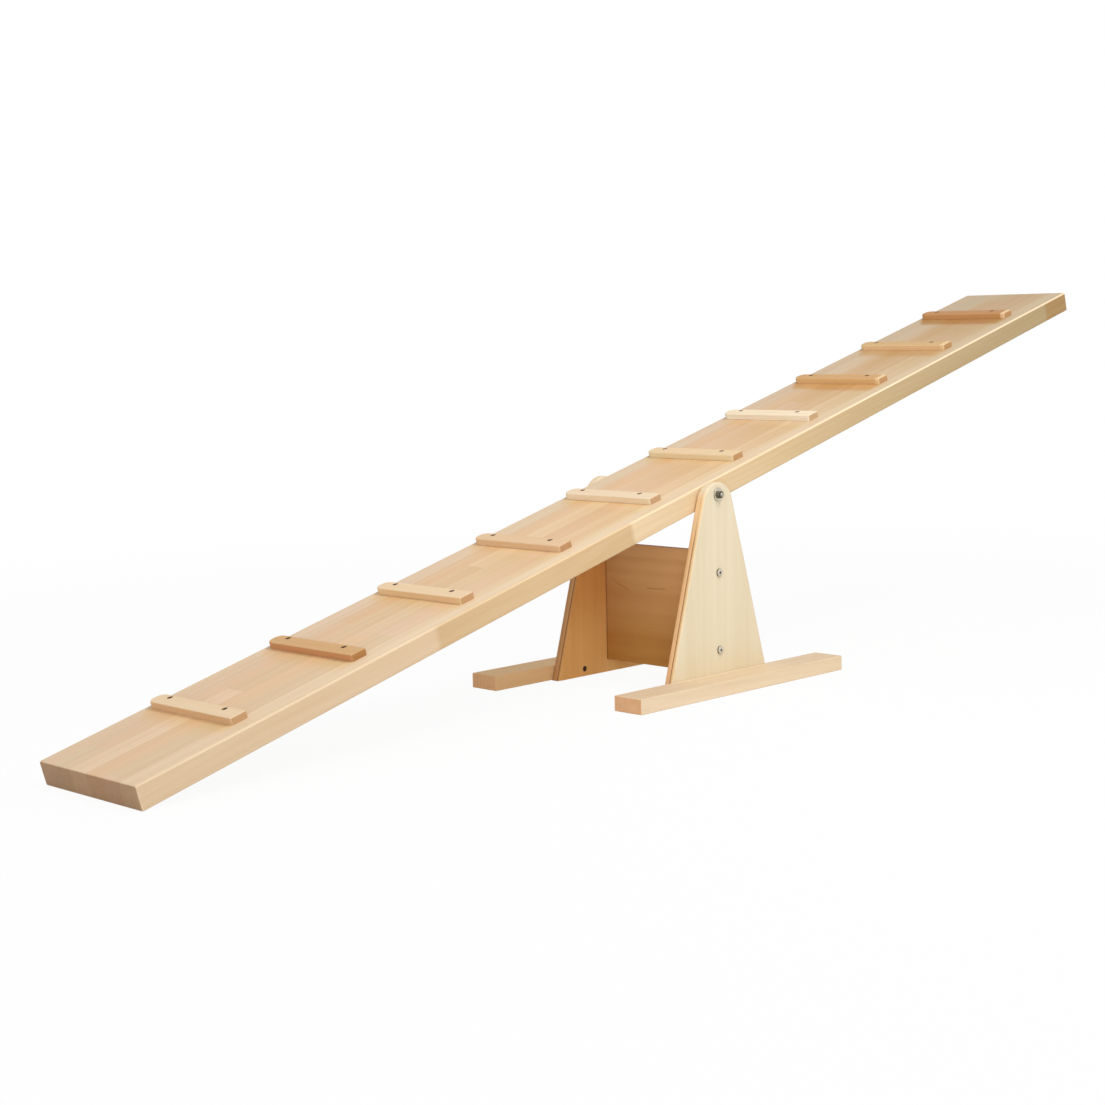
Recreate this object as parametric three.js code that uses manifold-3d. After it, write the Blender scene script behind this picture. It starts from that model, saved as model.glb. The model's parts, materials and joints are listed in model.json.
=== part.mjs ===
// Balance rocker: a wooden plank with foot cleats that tips on one steel axle between two plywood cheeks.
//
// Millimetres, +Z up. The origin lies on the floor under the middle of the axle. +X runs along the plank's
// plan direction towards the raised end, and +Y along the axle from the near cheek to the far cheek.
// At rest the -X end of the plank lies on the floor.

import * as THREE from 'three';
import { RoundedBoxGeometry } from 'three/addons/geometries/RoundedBoxGeometry.js';
import { mergeVertices, toCreasedNormals } from 'three/addons/utils/BufferGeometryUtils.js';
import Module from 'manifold-3d';

const wasm = await Module();
wasm.setup();

// Plank; its bore lies a little below mid thickness, so that the plank, once tipped, stays tipped
const plankLength = 2500;
const plankWidth = 250;
const plankThickness = 40;
const plankEdgeRadius = 4;
const plankBoreDrop = 1.5;

// Cleats across the plank; the rows of cleats and screws sit a little off centre, as they do on the real one
const cleatCount = 10;
const cleatMarginLow = 208;
const cleatMarginHigh = 187;
const cleatInsetNear = 29;
const cleatInsetFar = 8;
const cleatWidth = 30;
const cleatHeight = 11;
const cleatEdgeRadius = 2;
const cleatCornerNear = 4;
const cleatCornerFar = 13;

// Countersunk wood screws through each cleat into the plank
const cleatScrewInsetNear = 44;
const cleatScrewInsetFar = 30;
const cleatScrewOffset = 7.5;
const cleatScrewCoreRadius = 2;
const cleatScrewHeadRadius = 4.5;
const cleatScrewSink = 1;
const cleatScrewBite = 22;

// Axle and what turns on it
const pivotHeight = 346;
const axleRadius = 4;
const axleClearance = 0.25;
const sleeveRadius = 7;
const bushWall = 2;
const bushDepth = 30;
const bushFlangeRadius = 13;
const runningClearance = 0.1;
const sideGap = 2;
const sideClearance = 0.3;
const axleWasherRadius = 12;
const axleWasherThickness = 2;
const axleNutAcrossFlats = 13;
const axleNutHeight = 5;
const axleCollarHeight = 3;
const axleCollarInset = 1.3;
const axleProud = 1.5;

// Cheeks: tapered plywood plates with a round top, standing on the floor
const cheekThickness = 18;
const cheekBaseHalfWidth = 137;
const cheekTopRadius = 41;
const cheekTopDrop = 19;
const cheekEdgeRadius = 4;

// Cross panel between the cheeks
const panelThickness = 12;
const panelBottom = 24;
const panelTopDrop = 101;
const panelBoltEdgeLow = 44;
const panelBoltEdgeHigh = 38;

// Connector bolts through the cheeks into barrel nuts in the panel
const boltRadius = 3;
const boltClearance = 0.3;
const boltHeadRadius = 7;
const boltHeadHeight = 3;
const boltHeadRound = 1;
const boltSocketAcrossFlats = 4;
const boltSocketDepth = 2;
const boltBeyondNut = 5;
const barrelRadius = 5;
const barrelLength = 9;
const barrelDepth = 32;
const barrelSlotWidth = 1.2;
const barrelSlotDepth = 1;

// Feet: bars along X outside the cheeks
const footLength = 555;
const footWidth = 62;
const footHeight = 27;
const footEdgeRadius = 2;

// Countersunk screws from inside each cheek into its foot
const footScrewSpacing = 132;
const footScrewCoreRadius = 2.5;
const footScrewHeadRadius = 5;
const footScrewSink = 1;
const footScrewBite = 40;

// Fits and how far a cutting shape runs past the face it cuts
const seatClearance = 0.3;
const screwClearance = 0.3;
const overrun = 5;

// Places worked out from the sizes above
const plankUnderside = plankBoreDrop - plankThickness / 2;
const plankTop = plankBoreDrop + plankThickness / 2;
// Along the plank and below the axle to the middle of the rounding that rests on the floor
const restAlong = plankLength / 2 - plankEdgeRadius;
const restBelow = -plankUnderside - plankEdgeRadius;
const tilt = Math.asin((pivotHeight - plankEdgeRadius) / Math.hypot(restAlong, restBelow))
  - Math.atan2(restBelow, restAlong);
const cheekInner = plankWidth / 2 + sideGap;
const cheekOuter = cheekInner + cheekThickness;
const cheekTopCentre = pivotHeight - cheekTopDrop;
const panelTop = pivotHeight - panelTopDrop;
const cleatBase = plankTop + seatClearance;
const cleatTop = cleatBase + cleatHeight;
const cleatLength = plankWidth - cleatInsetNear - cleatInsetFar;
const cleatMiddle = (cleatInsetNear - cleatInsetFar) / 2;
const cleatStart = -plankLength / 2 + cleatMarginLow;
const cleatPitch = (plankLength - cleatMarginLow - cleatMarginHigh) / (cleatCount - 1);
const bushRadius = sleeveRadius + runningClearance + bushWall;
const sides = { near: -1, far: 1 };

function material(color, roughness, metalness = 0) {
  return new THREE.MeshStandardMaterial({ color, roughness, metalness });
}

const finishes = {
  plank: material(0xe0c39c, 0.55),
  cleatPale: material(0xe9cfa6, 0.55),
  cleatCream: material(0xf1e0bb, 0.55),
  cleatHoney: material(0xe3b57f, 0.55),
  cleatBrown: material(0xc98f5c, 0.55),
  cheek: material(0xecdcb8, 0.6),
  panel: material(0xc98a52, 0.6),
  foot: material(0xe6cca6, 0.55),
  zinc: material(0xb9bcc0, 0.3, 1),
  darkSteel: material(0x4a4640, 0.45, 1),
  nylon: material(0xe9e6dd, 0.5),
};

// One finish for each cleat, from the low end to the raised end
const cleatFinishes = [
  finishes.cleatPale, finishes.cleatHoney, finishes.cleatPale, finishes.cleatPale, finishes.cleatCream,
  finishes.cleatPale, finishes.cleatCream, finishes.cleatBrown, finishes.cleatHoney, finishes.cleatBrown,
];

// A closed three.js geometry as a solid that can be joined and cut
function toSolid(geometry) {
  const bare = geometry.clone();
  bare.deleteAttribute('normal');
  bare.deleteAttribute('uv');
  const merged = mergeVertices(bare, 1e-4);
  const corners = merged.index.array;
  const triangles = [];
  for (let i = 0; i < corners.length; i += 3) {
    const [a, b, c] = [corners[i], corners[i + 1], corners[i + 2]];
    if (a !== b && b !== c && c !== a) triangles.push(a, b, c);
  }
  return new wasm.Manifold(new wasm.Mesh({
    numProp: 3,
    vertProperties: new Float32Array(merged.attributes.position.array),
    triVerts: new Uint32Array(triangles),
  }));
}

function toGeometry(solid) {
  const mesh = solid.getMesh();
  const geometry = new THREE.BufferGeometry();
  geometry.setAttribute('position', new THREE.BufferAttribute(mesh.vertProperties, 3));
  geometry.setIndex(new THREE.BufferAttribute(mesh.triVerts, 1));
  return toCreasedNormals(geometry, Math.PI / 6);
}

function cut(geometry, cutters) {
  const solid = cutters.reduce((whole, cutter) => whole.subtract(toSolid(cutter)), toSolid(geometry));
  return toGeometry(solid);
}

function meshOf(name, geometry, finish) {
  const mesh = new THREE.Mesh(geometry, finish);
  mesh.name = name;
  return mesh;
}

// A round bar about the Y axis between two places
function barAlongY(radius, from, to, segments = 16) {
  const length = to - from;
  return new THREE.CylinderGeometry(radius, radius, length, segments).translate(0, from + length / 2, 0);
}

// A solid of revolution about the Y axis from [radius, place] pairs, lowest place first
function turned(pairs, segments = 20) {
  return new THREE.LatheGeometry(pairs.map(([radius, place]) => new THREE.Vector2(radius, place)), segments);
}

// A ring about the Y axis between two places
function ringAlongY(inner, outer, from, to, segments = 24) {
  return turned([[inner, from], [outer, from], [outer, to], [inner, to], [inner, from]], segments);
}

// A hexagonal bar about the Y axis between two places, with one flat facing +Z
function hexAlongY(acrossFlats, from, to) {
  const cornerRadius = acrossFlats / Math.sqrt(3);
  return barAlongY(cornerRadius, from, to, 6).rotateY(Math.PI / 6);
}

// Turns a shape made about +Y to point along +Z
function upright(geometry) {
  return geometry.rotateX(Math.PI / 2);
}

// Turns a shape that faces outwards along +Y to its own side: the near side faces -Y
function facing(geometry, side) {
  return side < 0 ? geometry.rotateZ(Math.PI) : geometry;
}

// A countersunk wood screw along +Y whose head top lies at the origin, with a crossed recess
function countersunkScrew(coreRadius, headRadius, length) {
  const rim = 0.5;
  const cone = headRadius - coreRadius;
  const point = 2 * coreRadius;
  const recessWidth = 0.28 * headRadius;
  const recessSpan = 1.15 * headRadius;
  const recessDepth = 0.4 * headRadius;
  const body = turned([
    [0, -length], [coreRadius, point - length], [coreRadius, -rim - cone], [headRadius, -rim],
    [headRadius, 0], [0, 0],
  ], 10);
  const slot = new THREE.BoxGeometry(recessSpan, 2 * recessDepth, recessWidth);
  return cut(body, [slot, slot.clone().rotateY(Math.PI / 2)]);
}

// The clearance cut for that screw, sunk below a face, open above the head
function screwCut(coreRadius, headRadius, length, sink) {
  const rim = 0.5;
  const cone = headRadius - coreRadius;
  const core = coreRadius + screwClearance;
  const head = headRadius + screwClearance;
  return turned([
    [0, -length - screwClearance], [core, -length - screwClearance], [core, -rim - cone - screwClearance],
    [head, -rim - screwClearance], [head, sink + overrun], [0, sink + overrun],
  ], 10);
}

// Plank: every edge rounded, a bore for the bushes and a pilot hole for every cleat screw
function plankGeometry(pilots) {
  const blank = new RoundedBoxGeometry(plankLength, plankWidth, plankThickness, 2, plankEdgeRadius);
  blank.translate(0, 0, plankBoreDrop);
  const bore = barAlongY(
    bushRadius + runningClearance, -plankWidth / 2 - overrun, plankWidth / 2 + overrun, 32,
  );
  return cut(blank, [bore, ...pilots]);
}

// Where each cleat lies along the plank, and where its two screws lie
function cleatPlaces() {
  return Array.from({ length: cleatCount }, (_, index) => ({
    label: String(index + 1).padStart(2, '0'),
    along: cleatStart + index * cleatPitch,
    screws: {
      near: -plankWidth / 2 + cleatInsetNear + cleatScrewInsetNear,
      far: plankWidth / 2 - cleatInsetFar - cleatScrewInsetFar,
    },
  }));
}

const cleatScrewLength = cleatHeight - cleatScrewSink + seatClearance + cleatScrewBite;

function atCleatScrew(geometry, along, across) {
  return upright(geometry).translate(along + cleatScrewOffset, across, cleatTop - cleatScrewSink);
}

function cleatScrewCut(along, across) {
  return atCleatScrew(
    screwCut(cleatScrewCoreRadius, cleatScrewHeadRadius, cleatScrewLength, cleatScrewSink), along, across,
  );
}

// Seen from above a cleat is almost square at its near end and almost half round at its far end
function cleatOutline() {
  const side = cleatWidth / 2;
  const end = cleatLength / 2;
  const quarter = Math.PI / 2;
  const outline = new THREE.Shape();
  outline.absarc(side - cleatCornerNear, cleatCornerNear - end, cleatCornerNear, -quarter, 0);
  outline.absarc(side - cleatCornerFar, end - cleatCornerFar, cleatCornerFar, 0, quarter);
  outline.absarc(cleatCornerFar - side, end - cleatCornerFar, cleatCornerFar, quarter, 2 * quarter);
  outline.absarc(cleatCornerNear - side, cleatCornerNear - end, cleatCornerNear, 2 * quarter, 3 * quarter);
  outline.closePath();
  return outline;
}

// Cleat: a bar with every upper edge rounded and a flat underside
function cleatGeometry(along, cuts) {
  const bar = new THREE.ExtrudeGeometry(cleatOutline(), {
    depth: cleatHeight, steps: 1, curveSegments: 4, bevelEnabled: true,
    bevelThickness: cleatEdgeRadius, bevelSize: cleatEdgeRadius, bevelOffset: -cleatEdgeRadius,
    bevelSegments: 2,
  });
  bar.translate(along, cleatMiddle, cleatBase - cleatEdgeRadius);
  const tall = cleatHeight + 2 * cleatEdgeRadius;
  const below = new THREE.BoxGeometry(cleatWidth + overrun, cleatLength + overrun, tall);
  below.translate(along, cleatMiddle, cleatBase - tall / 2);
  return cut(bar, [below, ...cuts]);
}

// Cheek: taper tangent to the round top, routed edges, cut square at the floor
function cheekGeometry(side) {
  const toCentre = Math.hypot(cheekBaseHalfWidth, cheekTopCentre);
  const lean = Math.atan2(cheekBaseHalfWidth, cheekTopCentre) - Math.asin(cheekTopRadius / toCentre);
  const spread = overrun * Math.tan(lean);
  const outline = new THREE.Shape();
  outline.moveTo(-cheekBaseHalfWidth - spread, -overrun);
  outline.lineTo(cheekBaseHalfWidth + spread, -overrun);
  outline.absarc(0, cheekTopCentre, cheekTopRadius, lean, Math.PI - lean);
  outline.closePath();
  const blank = new THREE.ExtrudeGeometry(outline, {
    depth: cheekThickness - 2 * cheekEdgeRadius, steps: 1, curveSegments: 10, bevelEnabled: true,
    bevelThickness: cheekEdgeRadius, bevelSize: cheekEdgeRadius, bevelOffset: -cheekEdgeRadius,
    bevelSegments: 2,
  });
  blank.rotateX(Math.PI / 2).translate(0, side * cheekInner + (side < 0 ? 0 : cheekThickness), 0);
  blank.translate(0, -cheekEdgeRadius, 0);
  const span = 2 * (cheekBaseHalfWidth + spread + overrun);
  const floorCut = new THREE.BoxGeometry(span, cheekThickness + 2 * overrun, 2 * overrun);
  floorCut.translate(0, side * (cheekInner + cheekThickness / 2), -overrun);
  const cutters = [floorCut];
  const inner = cheekInner - overrun;
  const outer = cheekOuter + overrun;
  const axleHole = barAlongY(axleRadius + axleClearance, inner, outer);
  cutters.push(facing(axleHole, side).translate(0, 0, pivotHeight));
  for (const level of panelBoltLevels()) {
    const boltHole = barAlongY(boltRadius + boltClearance, inner, outer);
    cutters.push(facing(boltHole, side).translate(0, 0, level));
  }
  for (const along of footScrewPlaces()) cutters.push(footScrewCut(along, side));
  return cut(blank, cutters);
}

function panelBoltLevels() {
  return [panelBottom + panelBoltEdgeLow, panelTop - panelBoltEdgeHigh];
}

function footScrewPlaces() {
  return [-footScrewSpacing / 2, footScrewSpacing / 2];
}

const footScrewLength = cheekThickness - footScrewSink + footScrewBite;

// A foot screw points outwards from the cheek's inner face
function atFootScrew(geometry, along, side) {
  const head = cheekInner + footScrewSink;
  return facing(geometry.rotateX(Math.PI).translate(0, head, 0), side).translate(along, 0, footHeight / 2);
}

function footScrewCut(along, side) {
  return atFootScrew(
    screwCut(footScrewCoreRadius, footScrewHeadRadius, footScrewLength, footScrewSink), along, side,
  );
}

function footGeometry(side) {
  const bar = new RoundedBoxGeometry(footLength, footWidth, footHeight, 1, footEdgeRadius);
  bar.translate(0, side * (cheekOuter + footWidth / 2), footHeight / 2);
  return cut(bar, footScrewPlaces().map((along) => footScrewCut(along, side)));
}

// Panel: a bolt hole in each end at two levels, each crossed by a barrel nut's hole from the back face
function panelGeometry() {
  const height = panelTop - panelBottom;
  const blank = new THREE.BoxGeometry(panelThickness, 2 * cheekInner, height);
  blank.translate(0, 0, panelBottom + height / 2);
  const barrelHoleRadius = barrelRadius + boltClearance;
  const barrelFloor = -barrelLength / 2 - boltClearance;
  const barrelHole = barAlongY(barrelHoleRadius, barrelFloor, panelThickness / 2 + overrun);
  barrelHole.rotateZ(-Math.PI / 2);
  const cutters = [];
  for (const side of Object.values(sides)) {
    for (const level of panelBoltLevels()) {
      const tip = cheekInner - barrelDepth - boltBeyondNut - barrelRadius - boltClearance;
      const hole = barAlongY(boltRadius + boltClearance, tip, cheekInner + overrun);
      cutters.push(facing(hole, side).translate(0, 0, level));
      cutters.push(barrelHole.clone().translate(0, side * (cheekInner - barrelDepth), level));
    }
  }
  return cut(blank, cutters);
}

// Connector bolt: flat round head on the cheek's outer face, hexagonal socket, plain shank
function boltGeometry(side, level) {
  const tip = cheekInner - barrelDepth - barrelRadius - boltBeyondNut;
  const top = cheekOuter + boltHeadHeight;
  const body = turned([
    [0, tip], [boltRadius - 1, tip], [boltRadius, tip + 1], [boltRadius, cheekOuter],
    [boltHeadRadius, cheekOuter], [boltHeadRadius, top - boltHeadRound],
    [boltHeadRadius - boltHeadRound, top], [0, top],
  ]);
  const socket = hexAlongY(boltSocketAcrossFlats, top - boltSocketDepth, top + overrun);
  return facing(cut(body, [socket]), side).translate(0, 0, level);
}

// Barrel nut: a round bar along X with the bolt's thread through it and a slot in its end
function barrelGeometry(side, level) {
  const body = barAlongY(barrelRadius, -barrelLength / 2, barrelLength / 2).rotateZ(-Math.PI / 2);
  const thread = barAlongY(boltRadius + runningClearance, -barrelRadius - overrun, barrelRadius + overrun);
  const slot = new THREE.BoxGeometry(2 * barrelSlotDepth, 2 * (barrelRadius + overrun), barrelSlotWidth);
  slot.translate(barrelLength / 2, 0, 0);
  return cut(body, [thread, slot]).translate(0, side * (cheekInner - barrelDepth), level);
}

// Axle: a chamfered steel rod through both cheeks, standing proud of its nuts
function axleGeometry() {
  const end = cheekOuter + axleWasherThickness + axleNutHeight + axleCollarHeight + axleProud;
  return turned([
    [0, -end], [axleRadius - 1, -end], [axleRadius, 1 - end], [axleRadius, end - 1], [axleRadius - 1, end],
    [0, end],
  ], 24).translate(0, 0, pivotHeight);
}

// Lock nut: a hexagon with turned corners and a round collar
function lockNutGeometry(side) {
  const seat = cheekOuter + axleWasherThickness;
  const top = seat + axleNutHeight;
  const flat = axleNutAcrossFlats / 2;
  const corner = axleNutAcrossFlats / Math.sqrt(3);
  const envelope = toSolid(turned([
    [0, seat], [flat, seat], [corner, seat + (corner - flat) / 2], [corner, top - (corner - flat) / 2],
    [flat, top], [0, top],
  ], 30));
  const collar = toSolid(turned([
    [0, top - 1], [flat - axleCollarInset, top - 1], [flat - axleCollarInset, top + axleCollarHeight - 1],
    [flat - axleCollarInset - 1, top + axleCollarHeight], [0, top + axleCollarHeight],
  ], 24));
  const bore = toSolid(barAlongY(
    axleRadius + runningClearance, seat - overrun, top + axleCollarHeight + overrun, 24,
  ));
  const hexagon = toSolid(hexAlongY(axleNutAcrossFlats, seat, top));
  const nut = hexagon.intersect(envelope).add(collar).subtract(bore);
  return facing(toGeometry(nut), side).translate(0, 0, pivotHeight);
}

function sideName(name, side) {
  return side < 0 ? `${name}_near` : `${name}_far`;
}

function buildStand() {
  const stand = new THREE.Group();
  stand.add(meshOf('cross_panel', panelGeometry(), finishes.panel));
  const sleeve = ringAlongY(axleRadius + axleClearance, sleeveRadius, -cheekInner, cheekInner, 32);
  stand.add(meshOf('axle_sleeve', sleeve.translate(0, 0, pivotHeight), finishes.zinc));
  stand.add(meshOf('axle_rod', axleGeometry(), finishes.zinc));
  for (const side of Object.values(sides)) {
    stand.add(meshOf(sideName('cheek', side), cheekGeometry(side), finishes.cheek));
    stand.add(meshOf(sideName('foot', side), footGeometry(side), finishes.foot));
    const washer = ringAlongY(
      axleRadius + axleClearance, axleWasherRadius, cheekOuter, cheekOuter + axleWasherThickness,
    );
    stand.add(meshOf(
      sideName('axle_washer', side), facing(washer, side).translate(0, 0, pivotHeight), finishes.zinc,
    ));
    stand.add(meshOf(sideName('axle_nut', side), lockNutGeometry(side), finishes.zinc));
    for (const [index, level] of panelBoltLevels().entries()) {
      const place = index === 0 ? 'lower' : 'upper';
      stand.add(meshOf(sideName(`panel_bolt_${place}`, side), boltGeometry(side, level), finishes.zinc));
      stand.add(meshOf(sideName(`barrel_nut_${place}`, side), barrelGeometry(side, level), finishes.zinc));
    }
    for (const [index, along] of footScrewPlaces().entries()) {
      const place = index === 0 ? 'low_end' : 'high_end';
      const screw = countersunkScrew(footScrewCoreRadius, footScrewHeadRadius, footScrewLength);
      stand.add(meshOf(
        sideName(`foot_screw_${place}`, side), atFootScrew(screw, along, side), finishes.darkSteel,
      ));
    }
  }
  return stand;
}

// Everything that tips, in the plank's own frame with the axle at its origin
function buildRocker() {
  const rocker = new THREE.Group();
  const pilots = [];
  for (const [index, place] of cleatPlaces().entries()) {
    const cuts = Object.values(place.screws).map((across) => cleatScrewCut(place.along, across));
    pilots.push(...cuts);
    const cleat = cleatGeometry(place.along, cuts);
    rocker.add(meshOf(`cleat_${place.label}`, cleat, cleatFinishes[index % cleatFinishes.length]));
    for (const [end, across] of Object.entries(place.screws)) {
      const screw = countersunkScrew(cleatScrewCoreRadius, cleatScrewHeadRadius, cleatScrewLength);
      rocker.add(meshOf(
        `cleat_screw_${place.label}_${end}`, atCleatScrew(screw, place.along, across), finishes.darkSteel,
      ));
    }
  }
  rocker.add(meshOf('plank', plankGeometry(pilots), finishes.plank));
  for (const side of Object.values(sides)) {
    const inner = sleeveRadius + runningClearance;
    const face = plankWidth / 2;
    const flangeFace = cheekInner - sideClearance;
    const bush = turned([
      [inner, face - bushDepth], [bushRadius, face - bushDepth], [bushRadius, face],
      [bushFlangeRadius, face], [bushFlangeRadius, flangeFace], [inner, flangeFace],
      [inner, face - bushDepth],
    ], 32);
    rocker.add(meshOf(sideName('axle_bush', side), facing(bush, side), finishes.nylon));
  }
  rocker.rotation.y = -tilt;
  rocker.position.z = pivotHeight;
  return rocker;
}

const balanceRocker = new THREE.Group();
balanceRocker.add(buildStand());
balanceRocker.add(buildRocker());

export default balanceRocker;
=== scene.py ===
"""A balance rocker in its finished wood and metal.

A glued-up plank with ten cleats tips on a steel axle between two tapered plywood cheeks. The cheeks stand on
the floor, on two bar feet and are tied by a cross panel. Every length is in metres, +Z is up, and the origin
lies on the floor under the middle of the axle.
"""

import json
import logging
import math
from dataclasses import dataclass, field, replace
from enum import Enum
from typing import NamedTuple, Sequence

import bmesh
import bpy
import numpy as np
from mathutils import Matrix, Vector
from mathutils.geometry import delaunay_2d_cdt


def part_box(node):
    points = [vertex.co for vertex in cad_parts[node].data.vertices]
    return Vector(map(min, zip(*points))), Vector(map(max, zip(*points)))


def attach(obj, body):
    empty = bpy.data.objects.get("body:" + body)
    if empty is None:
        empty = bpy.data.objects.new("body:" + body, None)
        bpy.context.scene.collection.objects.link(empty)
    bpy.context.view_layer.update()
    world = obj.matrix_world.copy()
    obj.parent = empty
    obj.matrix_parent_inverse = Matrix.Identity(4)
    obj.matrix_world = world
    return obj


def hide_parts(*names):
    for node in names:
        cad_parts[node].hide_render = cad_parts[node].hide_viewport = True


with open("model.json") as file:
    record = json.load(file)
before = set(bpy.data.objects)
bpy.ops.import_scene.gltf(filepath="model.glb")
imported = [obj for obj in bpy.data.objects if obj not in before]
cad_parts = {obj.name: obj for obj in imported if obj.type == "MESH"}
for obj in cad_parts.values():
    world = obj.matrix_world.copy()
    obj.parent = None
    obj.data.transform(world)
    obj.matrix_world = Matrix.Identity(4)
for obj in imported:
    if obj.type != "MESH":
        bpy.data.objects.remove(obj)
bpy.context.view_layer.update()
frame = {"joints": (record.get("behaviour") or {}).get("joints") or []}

log = logging.getLogger("balance_rocker")

Array = np.ndarray
Colour = tuple[float, float, float]
Socket = bpy.types.NodeSocket
MM = 0.001
SEWING_DISTANCE = 1e-7
FILLING_DISTANCE_MM = 1e-5
SHARP_EDGE = math.radians(30)


def srgb(red: int, green: int, blue: int) -> Colour:
    """Gives a colour that is written as it looks on a screen, by the sRGB standard's curve.

    Args:
        red: Red from 0 to 255.
        green: Green from 0 to 255.
        blue: Blue from 0 to 255.

    Returns:
        The same colour in the linear values that the shaders take.
    """
    shown = np.array([red, green, blue]) / 255
    linear = np.where(shown <= 0.04045, shown / 12.92, ((shown + 0.055) / 1.055) ** 2.4)
    return tuple(linear.tolist())


@dataclass(frozen=True)
class Place:
    """A local frame in the object: its origin and its three square axes."""

    origin: tuple[float, float, float] = (0.0, 0.0, 0.0)
    u: tuple[float, float, float] = (1.0, 0.0, 0.0)
    v: tuple[float, float, float] = (0.0, 1.0, 0.0)
    w: tuple[float, float, float] = (0.0, 0.0, 1.0)

    def points(self, local: Array) -> Array:
        """Gives local points their place in the object: origin plus the sum of each axis times its number."""
        return np.asarray(self.origin) + self.turned(local)

    def turned(self, local: Array) -> Array:
        """Gives local directions their direction in the object."""
        return local @ np.array([self.u, self.v, self.w])

    def moved(self, u: float, v: float, w: float) -> "Place":
        """Gives a frame with the same axes whose origin lies at a local point."""
        return replace(self, origin=tuple(self.points(np.array([u, v, w])).tolist()))


def facing_side(side: int, level: float = 0.0) -> Place:
    """Gives a frame whose w axis points out of one side of the stand, with v upright.

    Args:
        side: -1 for the near side, 1 for the far side.
        level: Height of the origin.

    Returns:
        The frame, with its origin on the stand's middle plane.
    """
    way = float(side)
    return Place(origin=(0.0, 0.0, level), u=(-way, 0.0, 0.0), v=(0.0, 0.0, 1.0), w=(0.0, way, 0.0))


def facing_high_end(origin: tuple[float, float, float]) -> Place:
    """Gives a frame at an origin whose w axis points to the stand's high end, with v upright."""
    return Place(origin=origin, u=(0.0, 1.0, 0.0), v=(0.0, 0.0, 1.0), w=(1.0, 0.0, 0.0))


def rocker_place() -> Place:
    """Gives the plank's own frame: on the axle, u along the plank, v along the axle and w out of its top."""
    first, last = (np.mean(np.array(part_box(f"cleat_{label}")), axis=0) for label in ("01", "10"))
    along = (last - first) / np.linalg.norm(last - first)
    pivot = tuple(frame["joints"][0]["pos_m"])
    return Place(origin=pivot, u=tuple(along.tolist()), w=(float(-along[2]), 0.0, float(along[0])))


class Skin:
    """Patches of faces that are sewn into one closed mesh.

    Every patch is worked out in local numbers and put in its place at once. Corners that lie within the
    sewing distance of each other become one vertex, so patches join where they share an edge.
    """

    def __init__(self, place: Place) -> None:
        """Starts an empty skin in one local frame."""
        self.place = place
        self._corners: list[Array] = []
        self._normals: list[Array | None] = []

    def faces(self, corners: Array, normals: Array | None = None) -> None:
        """Adds faces of three or four corners.

        Args:
            corners: Local corners, shaped (faces, 3 or 4, 3).
            normals: Local directions that the surface faces at those corners, or None on a piece whose
                shading follows its faces.
        """
        if corners.shape[1] == 3:
            corners = np.concatenate([corners, corners[:, 2:]], axis=1)
            normals = None if normals is None else np.concatenate([normals, normals[:, 2:]], axis=1)
        self._corners.append(self.place.points(corners))
        self._normals.append(None if normals is None else self.place.turned(normals))

    def grid(self, points: Array, normals: Array | None = None) -> None:
        """Adds the four-cornered faces between the rows and columns of a grid shaped (rows, columns, 3)."""

        def around(values: Array) -> Array:
            """Gives the four corners of each cell of the grid."""
            cells = [values[:-1, :-1], values[:-1, 1:], values[1:, 1:], values[1:, :-1]]
            return np.stack(cells, axis=2).reshape(-1, 4, 3)

        self.faces(around(points), None if normals is None else around(normals))

    def sheet(self, outer: Array, holes: Sequence[Array], level: float, up: float | None = None) -> None:
        """Adds a flat sheet across w, inside one loop and outside the others.

        Args:
            outer: The outer loop's (u, v) points.
            holes: The inner loops' (u, v) points.
            level: The sheet's place along w.
            up: 1 or -1 for the way along w that it faces, or None where shading follows the faces.
        """
        flat = triangles_between(outer, holes)
        corners = np.concatenate([flat, np.full((*flat.shape[:2], 1), level)], axis=2)
        normals = None if up is None else np.broadcast_to(np.array([0.0, 0.0, up]), corners.shape)
        self.faces(corners, normals)

    def absorb(self, other: "Skin") -> None:
        """Takes over another skin's patches."""
        self._corners += other._corners
        self._normals += other._normals

    def mesh(self, name: str) -> bpy.types.Mesh:
        """Sews the patches together.

        Args:
            name: The mesh's name.

        Returns:
            A closed mesh whose faces point outwards.
        """
        corners = np.concatenate(self._corners)
        guided = all(normals is not None for normals in self._normals)
        normals = np.concatenate(self._normals) if guided else np.zeros_like(corners)
        crossing = np.cross(corners[:, 2] - corners[:, 0], corners[:, 3] - corners[:, 1])
        inward = np.einsum("ij,ij->i", crossing, normals.sum(axis=1)) < 0
        corners[inward] = corners[inward, ::-1]
        normals[inward] = normals[inward, ::-1]
        keys = np.round(corners.reshape(-1, 3) / SEWING_DISTANCE).astype(np.int64)
        _, first, vertex = np.unique(keys, axis=0, return_index=True, return_inverse=True)
        vertex = vertex.reshape(-1, 4)
        kept = vertex != np.roll(vertex, 1, axis=1)
        kept &= (kept.sum(axis=1) >= 3)[:, None]
        counts = kept.sum(axis=1)
        counts = counts[counts > 0]
        loops = np.split(vertex[kept], np.cumsum(counts)[:-1])
        made = bpy.data.meshes.new(name)
        made.from_pydata(corners.reshape(-1, 3)[first].tolist(), [], [loop.tolist() for loop in loops])
        made.polygons.foreach_set("use_smooth", np.ones(len(loops), dtype=bool))
        if guided:
            made.normals_split_custom_set(normals[kept].tolist())
        else:
            turn_faces_outwards(made)
            made.set_sharp_from_angle(angle=SHARP_EDGE)
        return made


def turn_faces_outwards(mesh: bpy.types.Mesh) -> None:
    """Turns every face of a closed mesh outwards."""
    work = bmesh.new()
    work.from_mesh(mesh)
    bmesh.ops.recalc_face_normals(work, faces=work.faces)
    work.to_mesh(mesh)
    work.free()


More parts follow.
